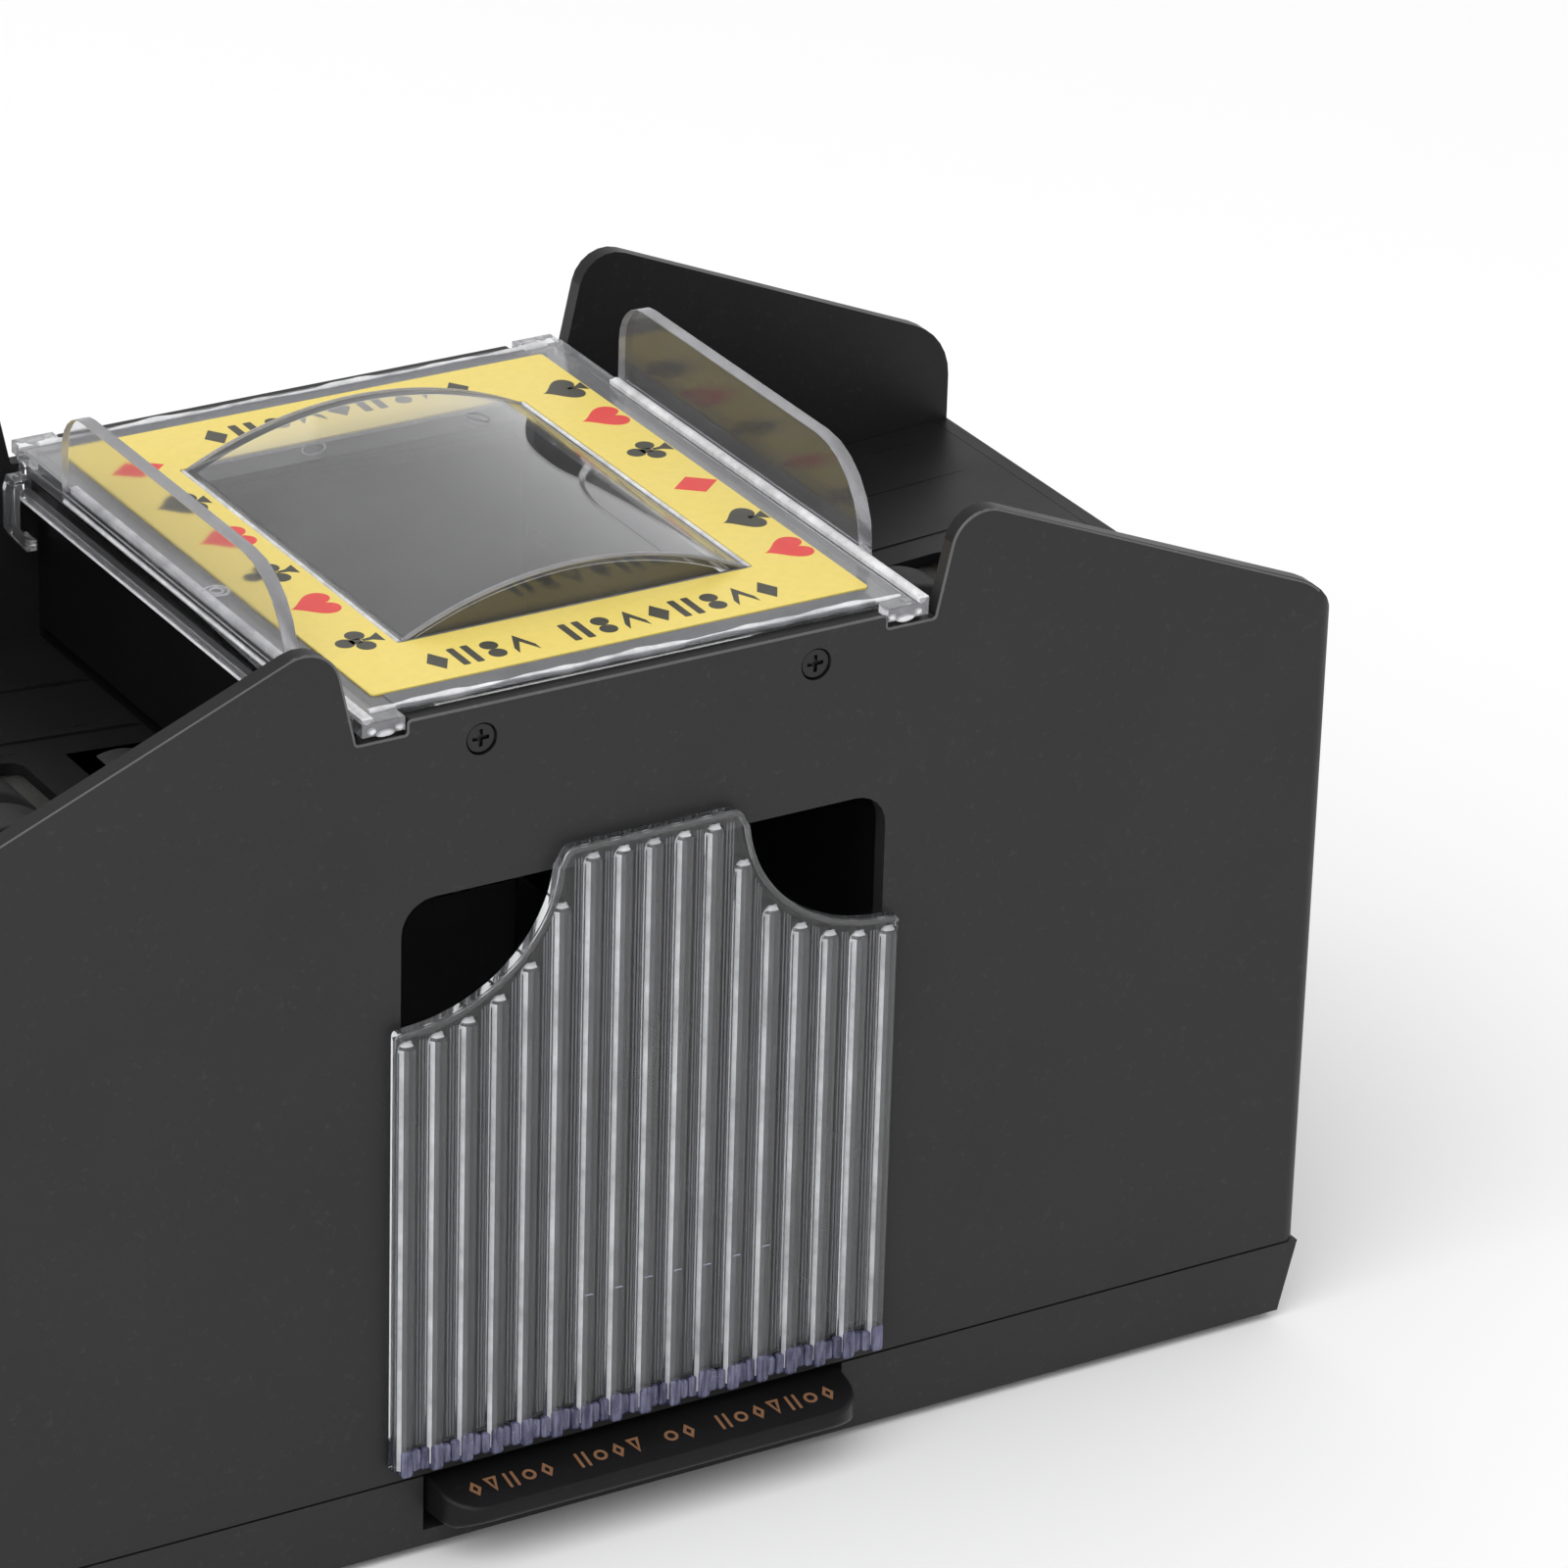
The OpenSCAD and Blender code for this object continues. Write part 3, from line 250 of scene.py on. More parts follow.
def rubber(name, colour):
    """Matt rubber with a bloom of dust."""
    mat, tree, out = new_material(name)
    body = tree.nodes.new("ShaderNodeBsdfPrincipled")
    dust = noise(tree, 420, 6, 0.7)
    tint = mix_colour(tree, dust, "Fac", colour, [c * 1.8 + 0.008 for c in colour])
    link(tree, tint, "Result", body, "Base Color")
    link(tree, ramp(tree, dust, "Fac", 0.62, 0.85), "Result", body, "Roughness")
    link(tree, bump(tree, noise(tree, 2600, 3), "Fac", 0.5, 0.06 * MM), "Normal", body, "Normal")
    link(tree, body, "BSDF", out, "Surface")
    return mat


# Colours are linear. Opaque plastics then give the range of their roughness and their specular level.
HOUSING = moulded_plastic("housing_black", (0.0195, 0.0195, 0.02), (0.42, 0.52), 0.26)
# Painted highlight: a lighter, glossier copy of the housing plastic for the walls' front upper rounds and
# the line along their top contour.
HOUSING_PAINTED_HIGHLIGHT = moulded_plastic("housing_painted_highlight", (0.085, 0.085, 0.087), (0.30, 0.40), 0.5)
# Painted shade: a darker copy of the housing plastic for upward faces and the other rounds of the walls, and
# for the rounds of the base and battery door.
HOUSING_PAINTED_SHADE = moulded_plastic("housing_painted_shade", (0.008, 0.008, 0.0082), (0.34, 0.44), 0.2)
# Painted shade: a darker, smoother copy of the housing plastic for the walls' inner faces.
HOUSING_INSIDE_PAINTED_SHADE = moulded_plastic("housing_inside_painted_shade", (0.0112, 0.0112, 0.0115), (0.36, 0.48), 0.2)
BASE = moulded_plastic("base_black", (0.0205, 0.0205, 0.021), (0.42, 0.52), 0.26)
INNER = moulded_plastic("inner_black", (0.004, 0.004, 0.0042), (0.36, 0.48), 0.16)
TRAY = moulded_plastic("tray_black", (0.009, 0.009, 0.0095), (0.34, 0.46), 0.24, scuffs=0.16)
# Painted highlight: a lighter copy of the tray plastic for the tray rounds.
TRAY_PAINTED_HIGHLIGHT = moulded_plastic("tray_painted_highlight", (0.03, 0.03, 0.031), (0.3, 0.4), 0.4)
BAR = moulded_plastic("bar_black", (0.0062, 0.0062, 0.0065), (0.32, 0.42), 0.19)
# Painted highlight: a lighter copy of the bar plastic for the bar's rounds.
BAR_PAINTED_HIGHLIGHT = moulded_plastic("bar_painted_highlight", (0.016, 0.016, 0.0165), (0.28, 0.38), 0.34)
GEAR = moulded_plastic("natural_acetal", (0.74, 0.73, 0.68), (0.35, 0.5), 0.5, 1500)
CLEAR = clear_plastic("clear_cover", (0.985, 0.988, 0.99), haze=0.04)
CLEAR_PLATE = clear_plastic("clear_plate", (0.97, 0.975, 0.985), 0.03, 0.02, 1.45, 0.15)
CLEAR_FIN = clear_plastic("clear_fin", (0.95, 0.95, 0.965), 0.09, 0.03, 1.24, 0.04)
CLEAR_RIM = clear_rim("clear_cover_rim", (0.80, 0.80, 0.84), 0.2)
# Painted highlight: near-white frosted plastic for the bright lines on ridges, fillets, skirt, vault sill
# and weld bead, and for the lumps and boss rings.
CLEAR_PAINTED_HIGHLIGHT = clear_rim("clear_cover_painted_highlight", (0.95, 0.95, 0.97), 0.75)
CLEAR_BORDER = clear_rim("clear_cover_border", (0.70, 0.71, 0.76), 0.09)
CLEAR_DRAWER = clear_plastic("clear_drawer", (0.955, 0.96, 0.968), 0.05, 0.02, 1.37, 0.012, 0.03)
DRAWER_RIM = clear_rim("clear_drawer_rim", (0.60, 0.60, 0.78), 0.55)
# Painted highlight: near-white frosted plastic for the ribs' left flanks and domes.
RIB_PAINTED_HIGHLIGHT = clear_rim("clear_drawer_rib_painted_highlight", (0.90, 0.91, 0.94), 0.55)
# Frosted grey plastic for the drag lines between the ribs, and a fainter painted highlight on the rib faces
# beside the lit flanks.
RIB_DRAG_AND_HIGHLIGHT = clear_rim("clear_drawer_drag_and_highlight", (0.50, 0.51, 0.54), 0.14)
DRAWER_TOE = toe_plastic("clear_drawer_toe")
LABEL = printed("label_yellow", (0.80, 0.635, 0.15))
INK_DARK = printed("ink_dark", (0.045, 0.042, 0.03))
INK_RED = printed("ink_red", (0.72, 0.052, 0.045))
GOLD = printed("ink_gold", (0.21, 0.105, 0.052), 0.4)
STEEL = metal("plain_steel", (0.62, 0.62, 0.64), 0.3)
DARK_STEEL = metal("dark_screw", (0.045, 0.045, 0.045), 0.4)
BRASS = metal("turned_brass", (0.75, 0.58, 0.28), 0.28)
CAN = metal("motor_can", (0.66, 0.66, 0.67), 0.26, (1, 8, 1), 300)
TYRE = rubber("tyre_rubber", (0.012, 0.012, 0.012))
FOOT = rubber("foot_rubber", (0.04, 0.04, 0.04))
CELL = printed("cell_jacket", (0.05, 0.12, 0.30), 0.25)
WIRE = printed("wire_red", (0.50, 0.03, 0.03), 0.35)


# ------------------------------------------------------------------ mesh tools

def new_object(name, data):
    obj = bpy.data.objects.new(name, data)
    bpy.context.scene.collection.objects.link(obj)
    return obj


def final_mesh(obj):
    """The mesh of an object's final shape."""
    depsgraph = bpy.context.evaluated_depsgraph_get()
    return bpy.data.meshes.new_from_object(obj.evaluated_get(depsgraph))


def apply_modifiers(obj):
    mesh = final_mesh(obj)
    obj.modifiers.clear()
    obj.data = mesh
    return obj


def curve_to_mesh(curve):
    """The mesh of a curve's final shape; the curve is removed."""
    temp = new_object(curve.name, curve)
    mesh = final_mesh(temp)
    bpy.data.objects.remove(temp)
    bpy.data.curves.remove(curve)
    return mesh


def bmesh_to_mesh(name, bm):
    """A mesh from a bmesh, which is freed."""
    mesh = bpy.data.meshes.new(name)
    bm.to_mesh(mesh)
    bm.free()
    return mesh


def shade(obj, materials, smooth_deg=35):
    """Materials, smooth rounds, sharp creases, and normals that keep flat faces flat."""
    mesh = obj.data
    mesh.materials.clear()
    for material in materials:
        mesh.materials.append(material)
    bm = bmesh.new()
    bm.from_mesh(mesh)
    bmesh.ops.remove_doubles(bm, verts=bm.verts, dist=2e-7)
    limit = math.radians(smooth_deg)
    for face in bm.faces:
        face.smooth = True
        face.material_index = min(face.material_index, len(materials) - 1)
    for edge in bm.edges:
        edge.smooth = len(edge.link_faces) == 2 and edge.calc_face_angle(0) < limit
    bm.to_mesh(mesh)
    bm.free()
    weighted = obj.modifiers.new("normals", "WEIGHTED_NORMAL")
    weighted.keep_sharp = True
    weighted.weight = 80
    return apply_modifiers(obj)


def seat(obj, body="root", replaces=()):
    """Makes a piece ride on its body, and hides the CAD nodes it stands for."""
    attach(obj, body)
    if replaces:
        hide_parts(*replaces)
    return obj


def refined(node, materials, body="root", width=0.5, segments=3, name=None, angle=38,
            sharp_behind=None):
    """A copy of a CAD node with its coplanar triangles joined and its sharp edges rounded.

    The rounds get the second material. Edges that reach further back than sharp_behind, in mm, stay sharp.
    """
    mesh = NODES[node].data.copy()
    bm = bmesh.new()
    bm.from_mesh(mesh)
    bmesh.ops.remove_doubles(bm, verts=bm.verts, dist=1e-6)
    bmesh.ops.dissolve_limit(bm, angle_limit=math.radians(0.3), verts=bm.verts, edges=bm.edges)
    for face in bm.faces:
        face.material_index = 0
    if sharp_behind is not None:
        weight = bm.edges.layers.float.new("bevel_weight_edge")
        for edge in bm.edges:
            sharp = len(edge.link_faces) == 2 and edge.calc_face_angle(0) > math.radians(angle)
            back = max(vert.co.y for vert in edge.verts)
            edge[weight] = float(sharp and back < sharp_behind * MM)
    bm.to_mesh(mesh)
    bm.free()
    obj = new_object(name or node + "_fine", mesh)
    mesh.materials.clear()
    for material in materials:
        mesh.materials.append(material)
    bevel = obj.modifiers.new("edges", "BEVEL")
    bevel.width = width * MM
    bevel.segments = segments
    bevel.limit_method = "ANGLE" if sharp_behind is None else "WEIGHT"
    bevel.angle_limit = math.radians(angle)
    bevel.use_clamp_overlap = True
    bevel.miter_outer = "MITER_ARC"
    bevel.material = 1 if len(materials) > 1 else -1
    apply_modifiers(obj)
    shade(obj, materials)
    return seat(obj, body, (node,))


# Which world axes an outline's u, v and thickness w run along
FRAMES = {
    "XY": Matrix(((1, 0, 0), (0, 1, 0), (0, 0, 1))),
    "XZ": Matrix(((1, 0, 0), (0, 0, -1), (0, 1, 0))),
    "YZ": Matrix(((0, 0, 1), (1, 0, 0), (0, 1, 0))),
}


def plate_mesh(name, loops, plane, w0, w1, bevel=0.2, resolution=2):
    """Closed plate with rounded rims from outlines in mm; loops inside the first one are holes."""
    curve = bpy.data.curves.new(name, "CURVE")
    curve.dimensions = "2D"
    curve.fill_mode = "BOTH"
    for loop in loops:
        spline = curve.splines.new("POLY")
        spline.points.add(len(loop) - 1)
        for point, (u, v) in zip(spline.points, loop):
            point.co = (u * MM, v * MM, 0, 1)
        spline.use_cyclic_u = True
    curve.extrude = ((w1 - w0) / 2 - bevel) * MM
    curve.bevel_depth = bevel * MM
    curve.offset = -bevel * MM
    curve.bevel_resolution = resolution
    mesh = curve_to_mesh(curve)
    turn = FRAMES[plane].to_4x4()
    middle = turn @ Vector((0, 0, (w0 + w1) / 2 * MM))
    mesh.transform(Matrix.Translation(middle) @ turn)
    bm = bmesh.new()
    bm.from_mesh(mesh)
    bmesh.ops.remove_doubles(bm, verts=bm.verts, dist=1e-6)
    bmesh.ops.recalc_face_normals(bm, faces=bm.faces)
    bm.to_mesh(mesh)
    bm.free()
    return mesh


def joined(name, meshes):
    """One object from several meshes."""
    bm = bmesh.new()
    for mesh in meshes:
        bm.from_mesh(mesh)
    return new_object(name, bmesh_to_mesh(name, bm))


def arc(cx, cy, r, a0, a1, n=8):
    """Points on an arc from angle a0 to a1 in degrees."""
    return [(cx + r * math.cos(math.radians(a0 + (a1 - a0) * i / n)),
             cy + r * math.sin(math.radians(a0 + (a1 - a0) * i / n))) for i in range(n + 1)]


def rounded_rect(x0, y0, x1, y1, r, n=6):
    """Outline of a rectangle with corners of radius r."""
    return (arc(x1 - r, y0 + r, r, -90, 0, n) + arc(x1 - r, y1 - r, r, 0, 90, n)
            + arc(x0 + r, y1 - r, r, 90, 180, n) + arc(x0 + r, y0 + r, r, 180, 270, n))


def tube_mesh(name, points, radius, cyclic=False, resolution=4, radii=None):
    """Round bar along points in mm, with closed ends; radii scales the radius at each point."""
    curve = bpy.data.curves.new(name, "CURVE")
    curve.dimensions = "3D"
    spline = curve.splines.new("POLY")
    spline.points.add(len(points) - 1)
    for i, (point, co) in enumerate(zip(spline.points, points)):
        point.co = (co[0] * MM, co[1] * MM, co[2] * MM, 1)
        point.radius = radii[i] if radii else 1.0
    spline.use_cyclic_u = cyclic
    curve.bevel_depth = radius * MM
    curve.bevel_resolution = resolution
    curve.use_fill_caps = True
    return curve_to_mesh(curve)


def blob_mesh(centre, radii):
    """Uneven rounded lump, in mm."""
    wobble = 0.08
    bm = bmesh.new()
    bmesh.ops.create_icosphere(bm, subdivisions=3, radius=1)
    for vert in bm.verts:
        c = vert.co
        swell = 1 + wobble * math.sin(3.1 * c.x + centre[0]) * math.cos(2.3 * c.z + centre[1])
        vert.co = [(centre[k] + radii[k] * c[k] * swell) * MM for k in range(3)]
    return bmesh_to_mesh("blob", bm)


def coil_mesh(start, end, r0, r1, turns, wire):
    """Coil spring from start to end in mm, with its end turns lying flat."""
    start, end = Vector(start), Vector(end)
    turn = (end - start).to_track_quat("Z", "Y").to_matrix()
    n = int(turns * 18)
    points = []
    for i in range(n + 1):
        t = i / n
        rise = min(max((t * turns - 0.8) / (turns - 1.6), 0), 1)
        a = 2 * math.pi * turns * t
        r = r0 + (r1 - r0) * t
        points.append(start + (end - start) * rise + turn @ Vector((r * math.cos(a), r * math.sin(a), 0)))
    return tube_mesh("coil", points, wire, resolution=2)


def turned_mesh(profile, centre):
    """Solid of revolution about Y from (radius, y) pairs in mm that start and end on the axis."""
    segments = 40
    bm = bmesh.new()
    rings = []
    for r, y in profile[1:-1]:
        ring = []
        for i in range(segments):
            a = 2 * math.pi * i / segments
            ring.append(bm.verts.new(((centre[0] + r * math.cos(a)) * MM, (centre[1] + y) * MM,
                                      (centre[2] + r * math.sin(a)) * MM)))
        rings.append(ring)
    for low, high in zip(rings, rings[1:]):
        for i in range(segments):
            j = (i + 1) % segments
            bm.faces.new((low[i], low[j], high[j], high[i]))
    bm.faces.new(rings[0])
    bm.faces.new(rings[-1])
    bmesh.ops.recalc_face_normals(bm, faces=bm.faces)
    return bmesh_to_mesh("turned", bm)


def rounded_path(points, radius, n=6):
    """Polyline in mm with its corners rounded; radius is one number, or one for each corner."""
    points = [Vector(p) for p in points]
    path = [points[0]]
    radii = radius if isinstance(radius, (list, tuple)) else [radius] * len(points)
    for a, p, b, radius in zip(points, points[1:], points[2:], radii):
        u, v = (a - p).normalized(), (b - p).normalized()
        half = u.angle(v) / 2
        reach = min(radius / math.tan(half), (a - p).length / 2, (b - p).length / 2)
        centre = p + (u + v).normalized() * reach / math.cos(half)
        first, last = p + u * reach - centre, p + v * reach - centre
        path += [centre + first.slerp(last, i / n).normalized() * first.length for i in range(n + 1)]
    return path + [points[-1]]


# ------------------------------------------------------------------ housing

WALL_FACE = box_mm("front_shell")[0].y
WALL_BACK = box_mm("back_shell")[1].y
WALL_HALF = box_mm("front_shell")[1].x
WALL_THICK = 2.3


def shell(node, name, inside):
    """A wall whose top faces and other rounds carry painted shade, whose front upper rounds carry a painted
    highlight, and whose smoother inner face is darkened with painted shade.

    inside is 1 where the inner face looks back, and -1 where it looks forward.
    """
    obj = refined(node, [HOUSING, HOUSING_PAINTED_HIGHLIGHT, HOUSING_PAINTED_SHADE, HOUSING_INSIDE_PAINTED_SHADE], "root", 0.55, 3, name=name)
    for poly in obj.data.polygons:
        n = poly.normal
        # Rounds facing front and up get the painted highlight; the other rounds get painted shade.
        if poly.material_index == 1:
            poly.material_index = 1 if n.y < -0.25 and n.z > 0.15 else 2
        # Upward faces get painted shade.
        elif n.z > 0.3:
            poly.material_index = 2
        # The inner face gets painted shade.
        elif n.y * inside > 0.9:
            poly.material_index = 3


def wall_highlight_line():
    """A thin painted highlight line along the front wall's top contour: shoulder, wing, foot, notch and
    middle.
    """
    y, side, end_gap = WALL_FACE + 0.12, WALL_HALF - 0.2, 2.7
    shoulder_z, wing_x, wing_z = 107.0, 44.4, 130.8
    foot_x, notch_x, notch_z, middle_z = 40.9, 33.7, 115.5, 117.38
    corners = ((side, shoulder_z - 17), (side, shoulder_z), (wing_x, wing_z), (foot_x, notch_z),
               (notch_x, notch_z), (notch_x, middle_z), (0, middle_z))
    corner_radii = (9, 5, 0.6, 0.5, 0.5)
    meshes = []
    for s in (-1, 1):
        path = rounded_path([(s * x, y, z) for x, z in corners], corner_radii, 12)
        path = [p for p in path if abs(p.x) < WALL_HALF - end_gap]
        meshes.append(tube_mesh("line", path, 0.19, resolution=2))
    obj = joined("wall_highlight_line", meshes)
    shade(obj, [HOUSING_PAINTED_HIGHLIGHT], 60)
    seat(obj, "root", ("front_shell",))


def housing():
    shell("front_shell", "front_wall", 1)
    wall_highlight_line()
    shell("back_shell", "back_wall", -1)
    # The base pan's rounds get painted shade.
    refined("base_pan", [BASE, HOUSING_PAINTED_SHADE], "root", 0.35, 3, name="base_tub")
    for side in SIDES:
        # The tray rounds get the painted highlight.
        refined(side + "_feed_tray", [TRAY, TRAY_PAINTED_HIGHLIGHT], "root", 0.2, 2)
        refined(side + "_divider", [INNER], "root", 0.3, 2)
    refined("front_crossbar", [INNER], "root", 0.3, 2)
    refined("rear_crossbar", [INNER], "root", 0.3, 2)
    refined("wall_screws", [DARK_STEEL], "root", 0.15, 2)
    refined("base_screws", [DARK_STEEL], "root", 0.15, 2)
    refined("rubber_feet", [FOOT], "root", 0.4, 3)
    # The battery door's rounds get painted shade.
    refined("battery_door", [BASE, HOUSING_PAINTED_SHADE], "battery_door", 0.2, 2)


# ------------------------------------------------------------------ drive

def drive():
    for side in SIDES:
        refined(side + "_gear_bracket", [GEAR], "root", 0.25, 2)
        refined(side + "_motor", [CAN], "root", 0.3, 2)
        refined(side + "_feed_tyres", [TYRE], side + "_feed_roller", 0.5, 3)
        refined(side + "_exit_tyres", [TYRE], side + "_exit_roller", 0.5, 3)
        refined(side + "_feed_shaft", [GEAR], side + "_feed_roller", 0.1, 2, angle=50)
        refined(side + "_exit_shaft", [GEAR], side + "_exit_roller", 0.1, 2, angle=50)
        refined(side + "_reduction_gear", [GEAR], side + "_reduction", 0.1, 2, angle=50)
        refined(side + "_idler_gear", [GEAR], side + "_idler", 0.1, 2, angle=50)
        refined(side + "_gear_pins", [STEEL], "root", 0.1, 2)
        refined(side + "_motor_pinion", [BRASS], side + "_rotor", 0.06, 2, angle=50)
    refined("bracket_screws", [STEEL], "root", 0.12, 2)
    refined("motor_screws", [STEEL], "root", 0.1, 2)
    refined("battery_contacts", [STEEL], "root", 0.1, 2)
    refined("switch_body", [INNER], "root", 0.15, 2)
    refined("switch_lever", [STEEL], "switch_lever", 0.08, 2)


def press_springs():
    """Two coil springs under the press bar."""
    low, high = box_mm("press_springs")
    wire, y = 0.25, (low.y + high.y) / 2
    reach = (high.y - low.y) / 2 - wire
    coils = []
    for s in (-1, 1):
        x = s * (high.x - reach - wire)
        coils.append(coil_mesh((x, y, low.z + wire), (x, y, high.z - wire), reach, reach, 5.5, wire))
    obj = joined("press_coils", coils)
    shade(obj, [STEEL], 60)
    seat(obj, "root", ("press_springs",))
    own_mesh(obj)


CELL_R, CELL_LENGTH, CELL_PITCH = 7.1, 48.9, 14.4


def batteries():
    """Four jacketed cells with bare steel ends, and a conical spring at each flat end."""
    low, high = box_mm("battery_cells")
    middle_y, z = (low.y + high.y) / 2, (low.z + high.z) / 2
    spring_low, spring_high = box_mm("battery_springs")
    reach = (spring_high.y - spring_low.y) / 2
    half = CELL_LENGTH / 2
    profile = [(0, -half), (5.2, -half), (5.4, -half + 0.15), (6.6, -half + 0.15), (7.0, -half + 0.5),
               (CELL_R, -half + 0.9), (CELL_R, half - 1.1), (6.9, half - 0.6), (6.2, half - 0.3),
               (2.9, half - 0.2), (2.7, half), (2.7, half + 0.75), (2.4, half + 1), (0, half + 1)]
    cells, coils = [], []
    for i in range(4):
        x = low.x + CELL_R + i * CELL_PITCH
        facing = -1 if i % 2 else 1
        cells.append(turned_mesh([(r, facing * y) for r, y in profile], (x, middle_y, z)))
        coils.append(coil_mesh((x, middle_y - facing * (reach - 0.3), z),
                               (x, middle_y - facing * (half + 0.35), z), 2.7, 1.5, 4.5, 0.25))
    obj = joined("aa_cells", cells)
    shade(obj, [CELL, STEEL], 30)
    for poly in obj.data.polygons:
        poly.material_index = 1 if abs(poly.center.y / MM - middle_y) > half - 0.75 else 0
    seat(obj, "root", ("battery_cells",))
    springs = joined("contact_coils", coils)
    shade(springs, [STEEL], 60)
    seat(springs, "root", ("battery_springs",))


def wiring():
    """Two leads from each motor, down and forward to the battery end of the base."""
    low, high = box_mm("left_motor")
    motor_x, motor_z, tail = (low.x + high.x) / 2, (low.z + high.z) / 2, low.y - 0.8
    leads = []
    for s in (-1, 1):
        for lug, back, run, drop in ((-7, 6, 42, 26), (7, 8, 46, 24)):
            x = s * (abs(motor_x) + lug)
            route = [(x, tail, motor_z), (x, tail - back, motor_z), (x, tail - back, drop),
                     (s * run, tail - back, drop), (s * run, -33, drop), (s * run, -33, 5)]
            leads.append(tube_mesh("lead", rounded_path(route, 2.2), 0.6, resolution=3))
    obj = joined("motor_leads", leads)
    shade(obj, [WIRE], 60)
    seat(obj, "root", ("wiring",))


# ------------------------------------------------------------------ drawer

DRAWER_LOW, DRAWER_HIGH = box_mm("card_drawer")
PANEL_HALF, PANEL_LOW, PANEL_PEAK = DRAWER_HIGH.x, DRAWER_LOW.z, DRAWER_HIGH.z
PANEL_BACK = WALL_FACE - 0.05
PANEL_FACE = PANEL_BACK - 1.6
PANEL_SIDE = 76.2
NOTCH_RX = 21.5
NOTCH_RZ = PANEL_PEAK - 0.8 - PANEL_SIDE
NOTCH_CX = PANEL_HALF - 1
PANEL_FOOT = PANEL_LOW + 0.75
RIM_W, RIM_PROUD = 0.85, 0.45
RIBS, RIB_R = 17, 1.35
FIRST_RIB_X = -PANEL_HALF + RIB_R + 0.15
RIB_PITCH = -2 * FIRST_RIB_X / (RIBS - 1)


def rib_x(i):
    return FIRST_RIB_X + i * RIB_PITCH


def panel_top(x):
    """Height of the panel's top edge at x."""
    if abs(x) > NOTCH_CX:
        return PANEL_SIDE
    if abs(x) < NOTCH_CX - NOTCH_RX:
        return PANEL_PEAK
    return PANEL_SIDE + NOTCH_RZ - NOTCH_RZ * math.sqrt(1 - ((NOTCH_CX - abs(x)) / NOTCH_RX) ** 2)


def panel_outline(inset=0.0):
    """Front outline: straight sides, two scooped shoulders and a flat peak, moved in by inset."""
    half, side, peak = PANEL_HALF - inset, PANEL_SIDE - inset, PANEL_PEAK - inset
    corner = max(0.9 - inset, 0.15)
    right = [(half, PANEL_FOOT)] + arc(half - corner, side - corner, corner, 0, 60, 4)
    for i in range(2, 30):
        a = math.radians(-90 + 88 * i / 30)
        u = NOTCH_CX - (NOTCH_RX + inset) * math.cos(a)
        v = PANEL_SIDE + NOTCH_RZ + (NOTCH_RZ + inset) * math.sin(a)
        if v < peak - 1.7 + min(inset, 1.0):
            right.append((u, v))
    top_r = max(1.6 - inset, 0.4)
    right += arc(NOTCH_CX - NOTCH_RX - 0.6 - inset - top_r, peak - top_r, top_r, 5, 90, 6)
    return right + [(-u, v) for u, v in reversed(right)]


def rib_mesh(x, top):
    """Half-round rib with a domed top, sunk a little into the panel."""
    bm = bmesh.new()
    rings = []
    n = 20
    levels = [(PANEL_FOOT, 0.8), (PANEL_FOOT + 0.3, 1.0), (top, 1.0)]
    for a in map(math.radians, (18, 36, 54, 72, 84)):
        levels.append((top + RIB_R * math.sin(a), math.cos(a)))
    centre_y = PANEL_FACE + 0.35
    for z, k in levels:
        ring = []
        for i in range(n + 1):
            a = math.pi + math.pi * i / n
            ring.append(bm.verts.new(((x + RIB_R * k * math.cos(a)) * MM,
                                      (centre_y + RIB_R * k * math.sin(a)) * MM, z * MM)))
        rings.append(ring)
    for low, high in zip(rings, rings[1:]):
        for i in range(n):
            bm.faces.new((low[i], low[i + 1], high[i + 1], high[i]))
        bm.faces.new((low[n], low[0], high[0], high[n]))
    bm.faces.new(list(reversed(rings[0])))
    bm.faces.new(rings[-1])
    bmesh.ops.recalc_face_normals(bm, faces=bm.faces)
    return bmesh_to_mesh("rib", bm)


def cusp_meshes():
    """Scalloped foot of the drawer front: three moulded cusps to each rib pitch, none alike."""
    cusps = []
    for i in range(3 * (RIBS - 1) + 1):
        x = rib_x(0) + i * RIB_PITCH / 3
        on_rib = i % 3 == 0
        half = 0.84 if on_rib else 0.68
        low = PANEL_LOW + (0.04 if on_rib else 0.35 + 0.1 * math.sin(i * 2.1))
        high = PANEL_LOW + (3.9 if on_rib else 3.3) + 0.2 * math.sin(i * 1.3)
        proud = 1.1 if on_rib else 0.62 + 0.08 * math.sin(i * 1.9)
        cusps.append(plate_mesh("cusp", [rounded_rect(x - half, low, x + half, high, 0.48, 4)], "XZ",
                                -PANEL_FACE - 0.2, -PANEL_FACE + proud, 0.24, 2))
    return cusps


def top_band():
    """The raised band that follows the scooped top edge of the drawer front."""
    outer = panel_outline(0.02)[1:-1]
    inner = panel_outline(RIM_W)[1:-1]
    loop = outer + inner[::-1]
    return plate_mesh("band", [loop], "XZ", -PANEL_FACE - 0.2, -PANEL_FACE + RIM_PROUD, 0.3, 3)


def glint_meshes():
    """Short painted glints across the middle ribs: small frosted marks that stand in for highlights."""
    marks = []
    for i in range(6, 13):
        x, z = rib_x(i), 33.2 + 0.25 * math.sin(i * 1.7)
        y = PANEL_FACE + 0.35 - RIB_R + 0.04
        route = [(x - 0.55, y + 0.12, z), (x, y, z + 0.1), (x + 0.45, y + 0.08, z)]
        marks.append(tube_mesh("glint", route, 0.1, resolution=2))
    return marks


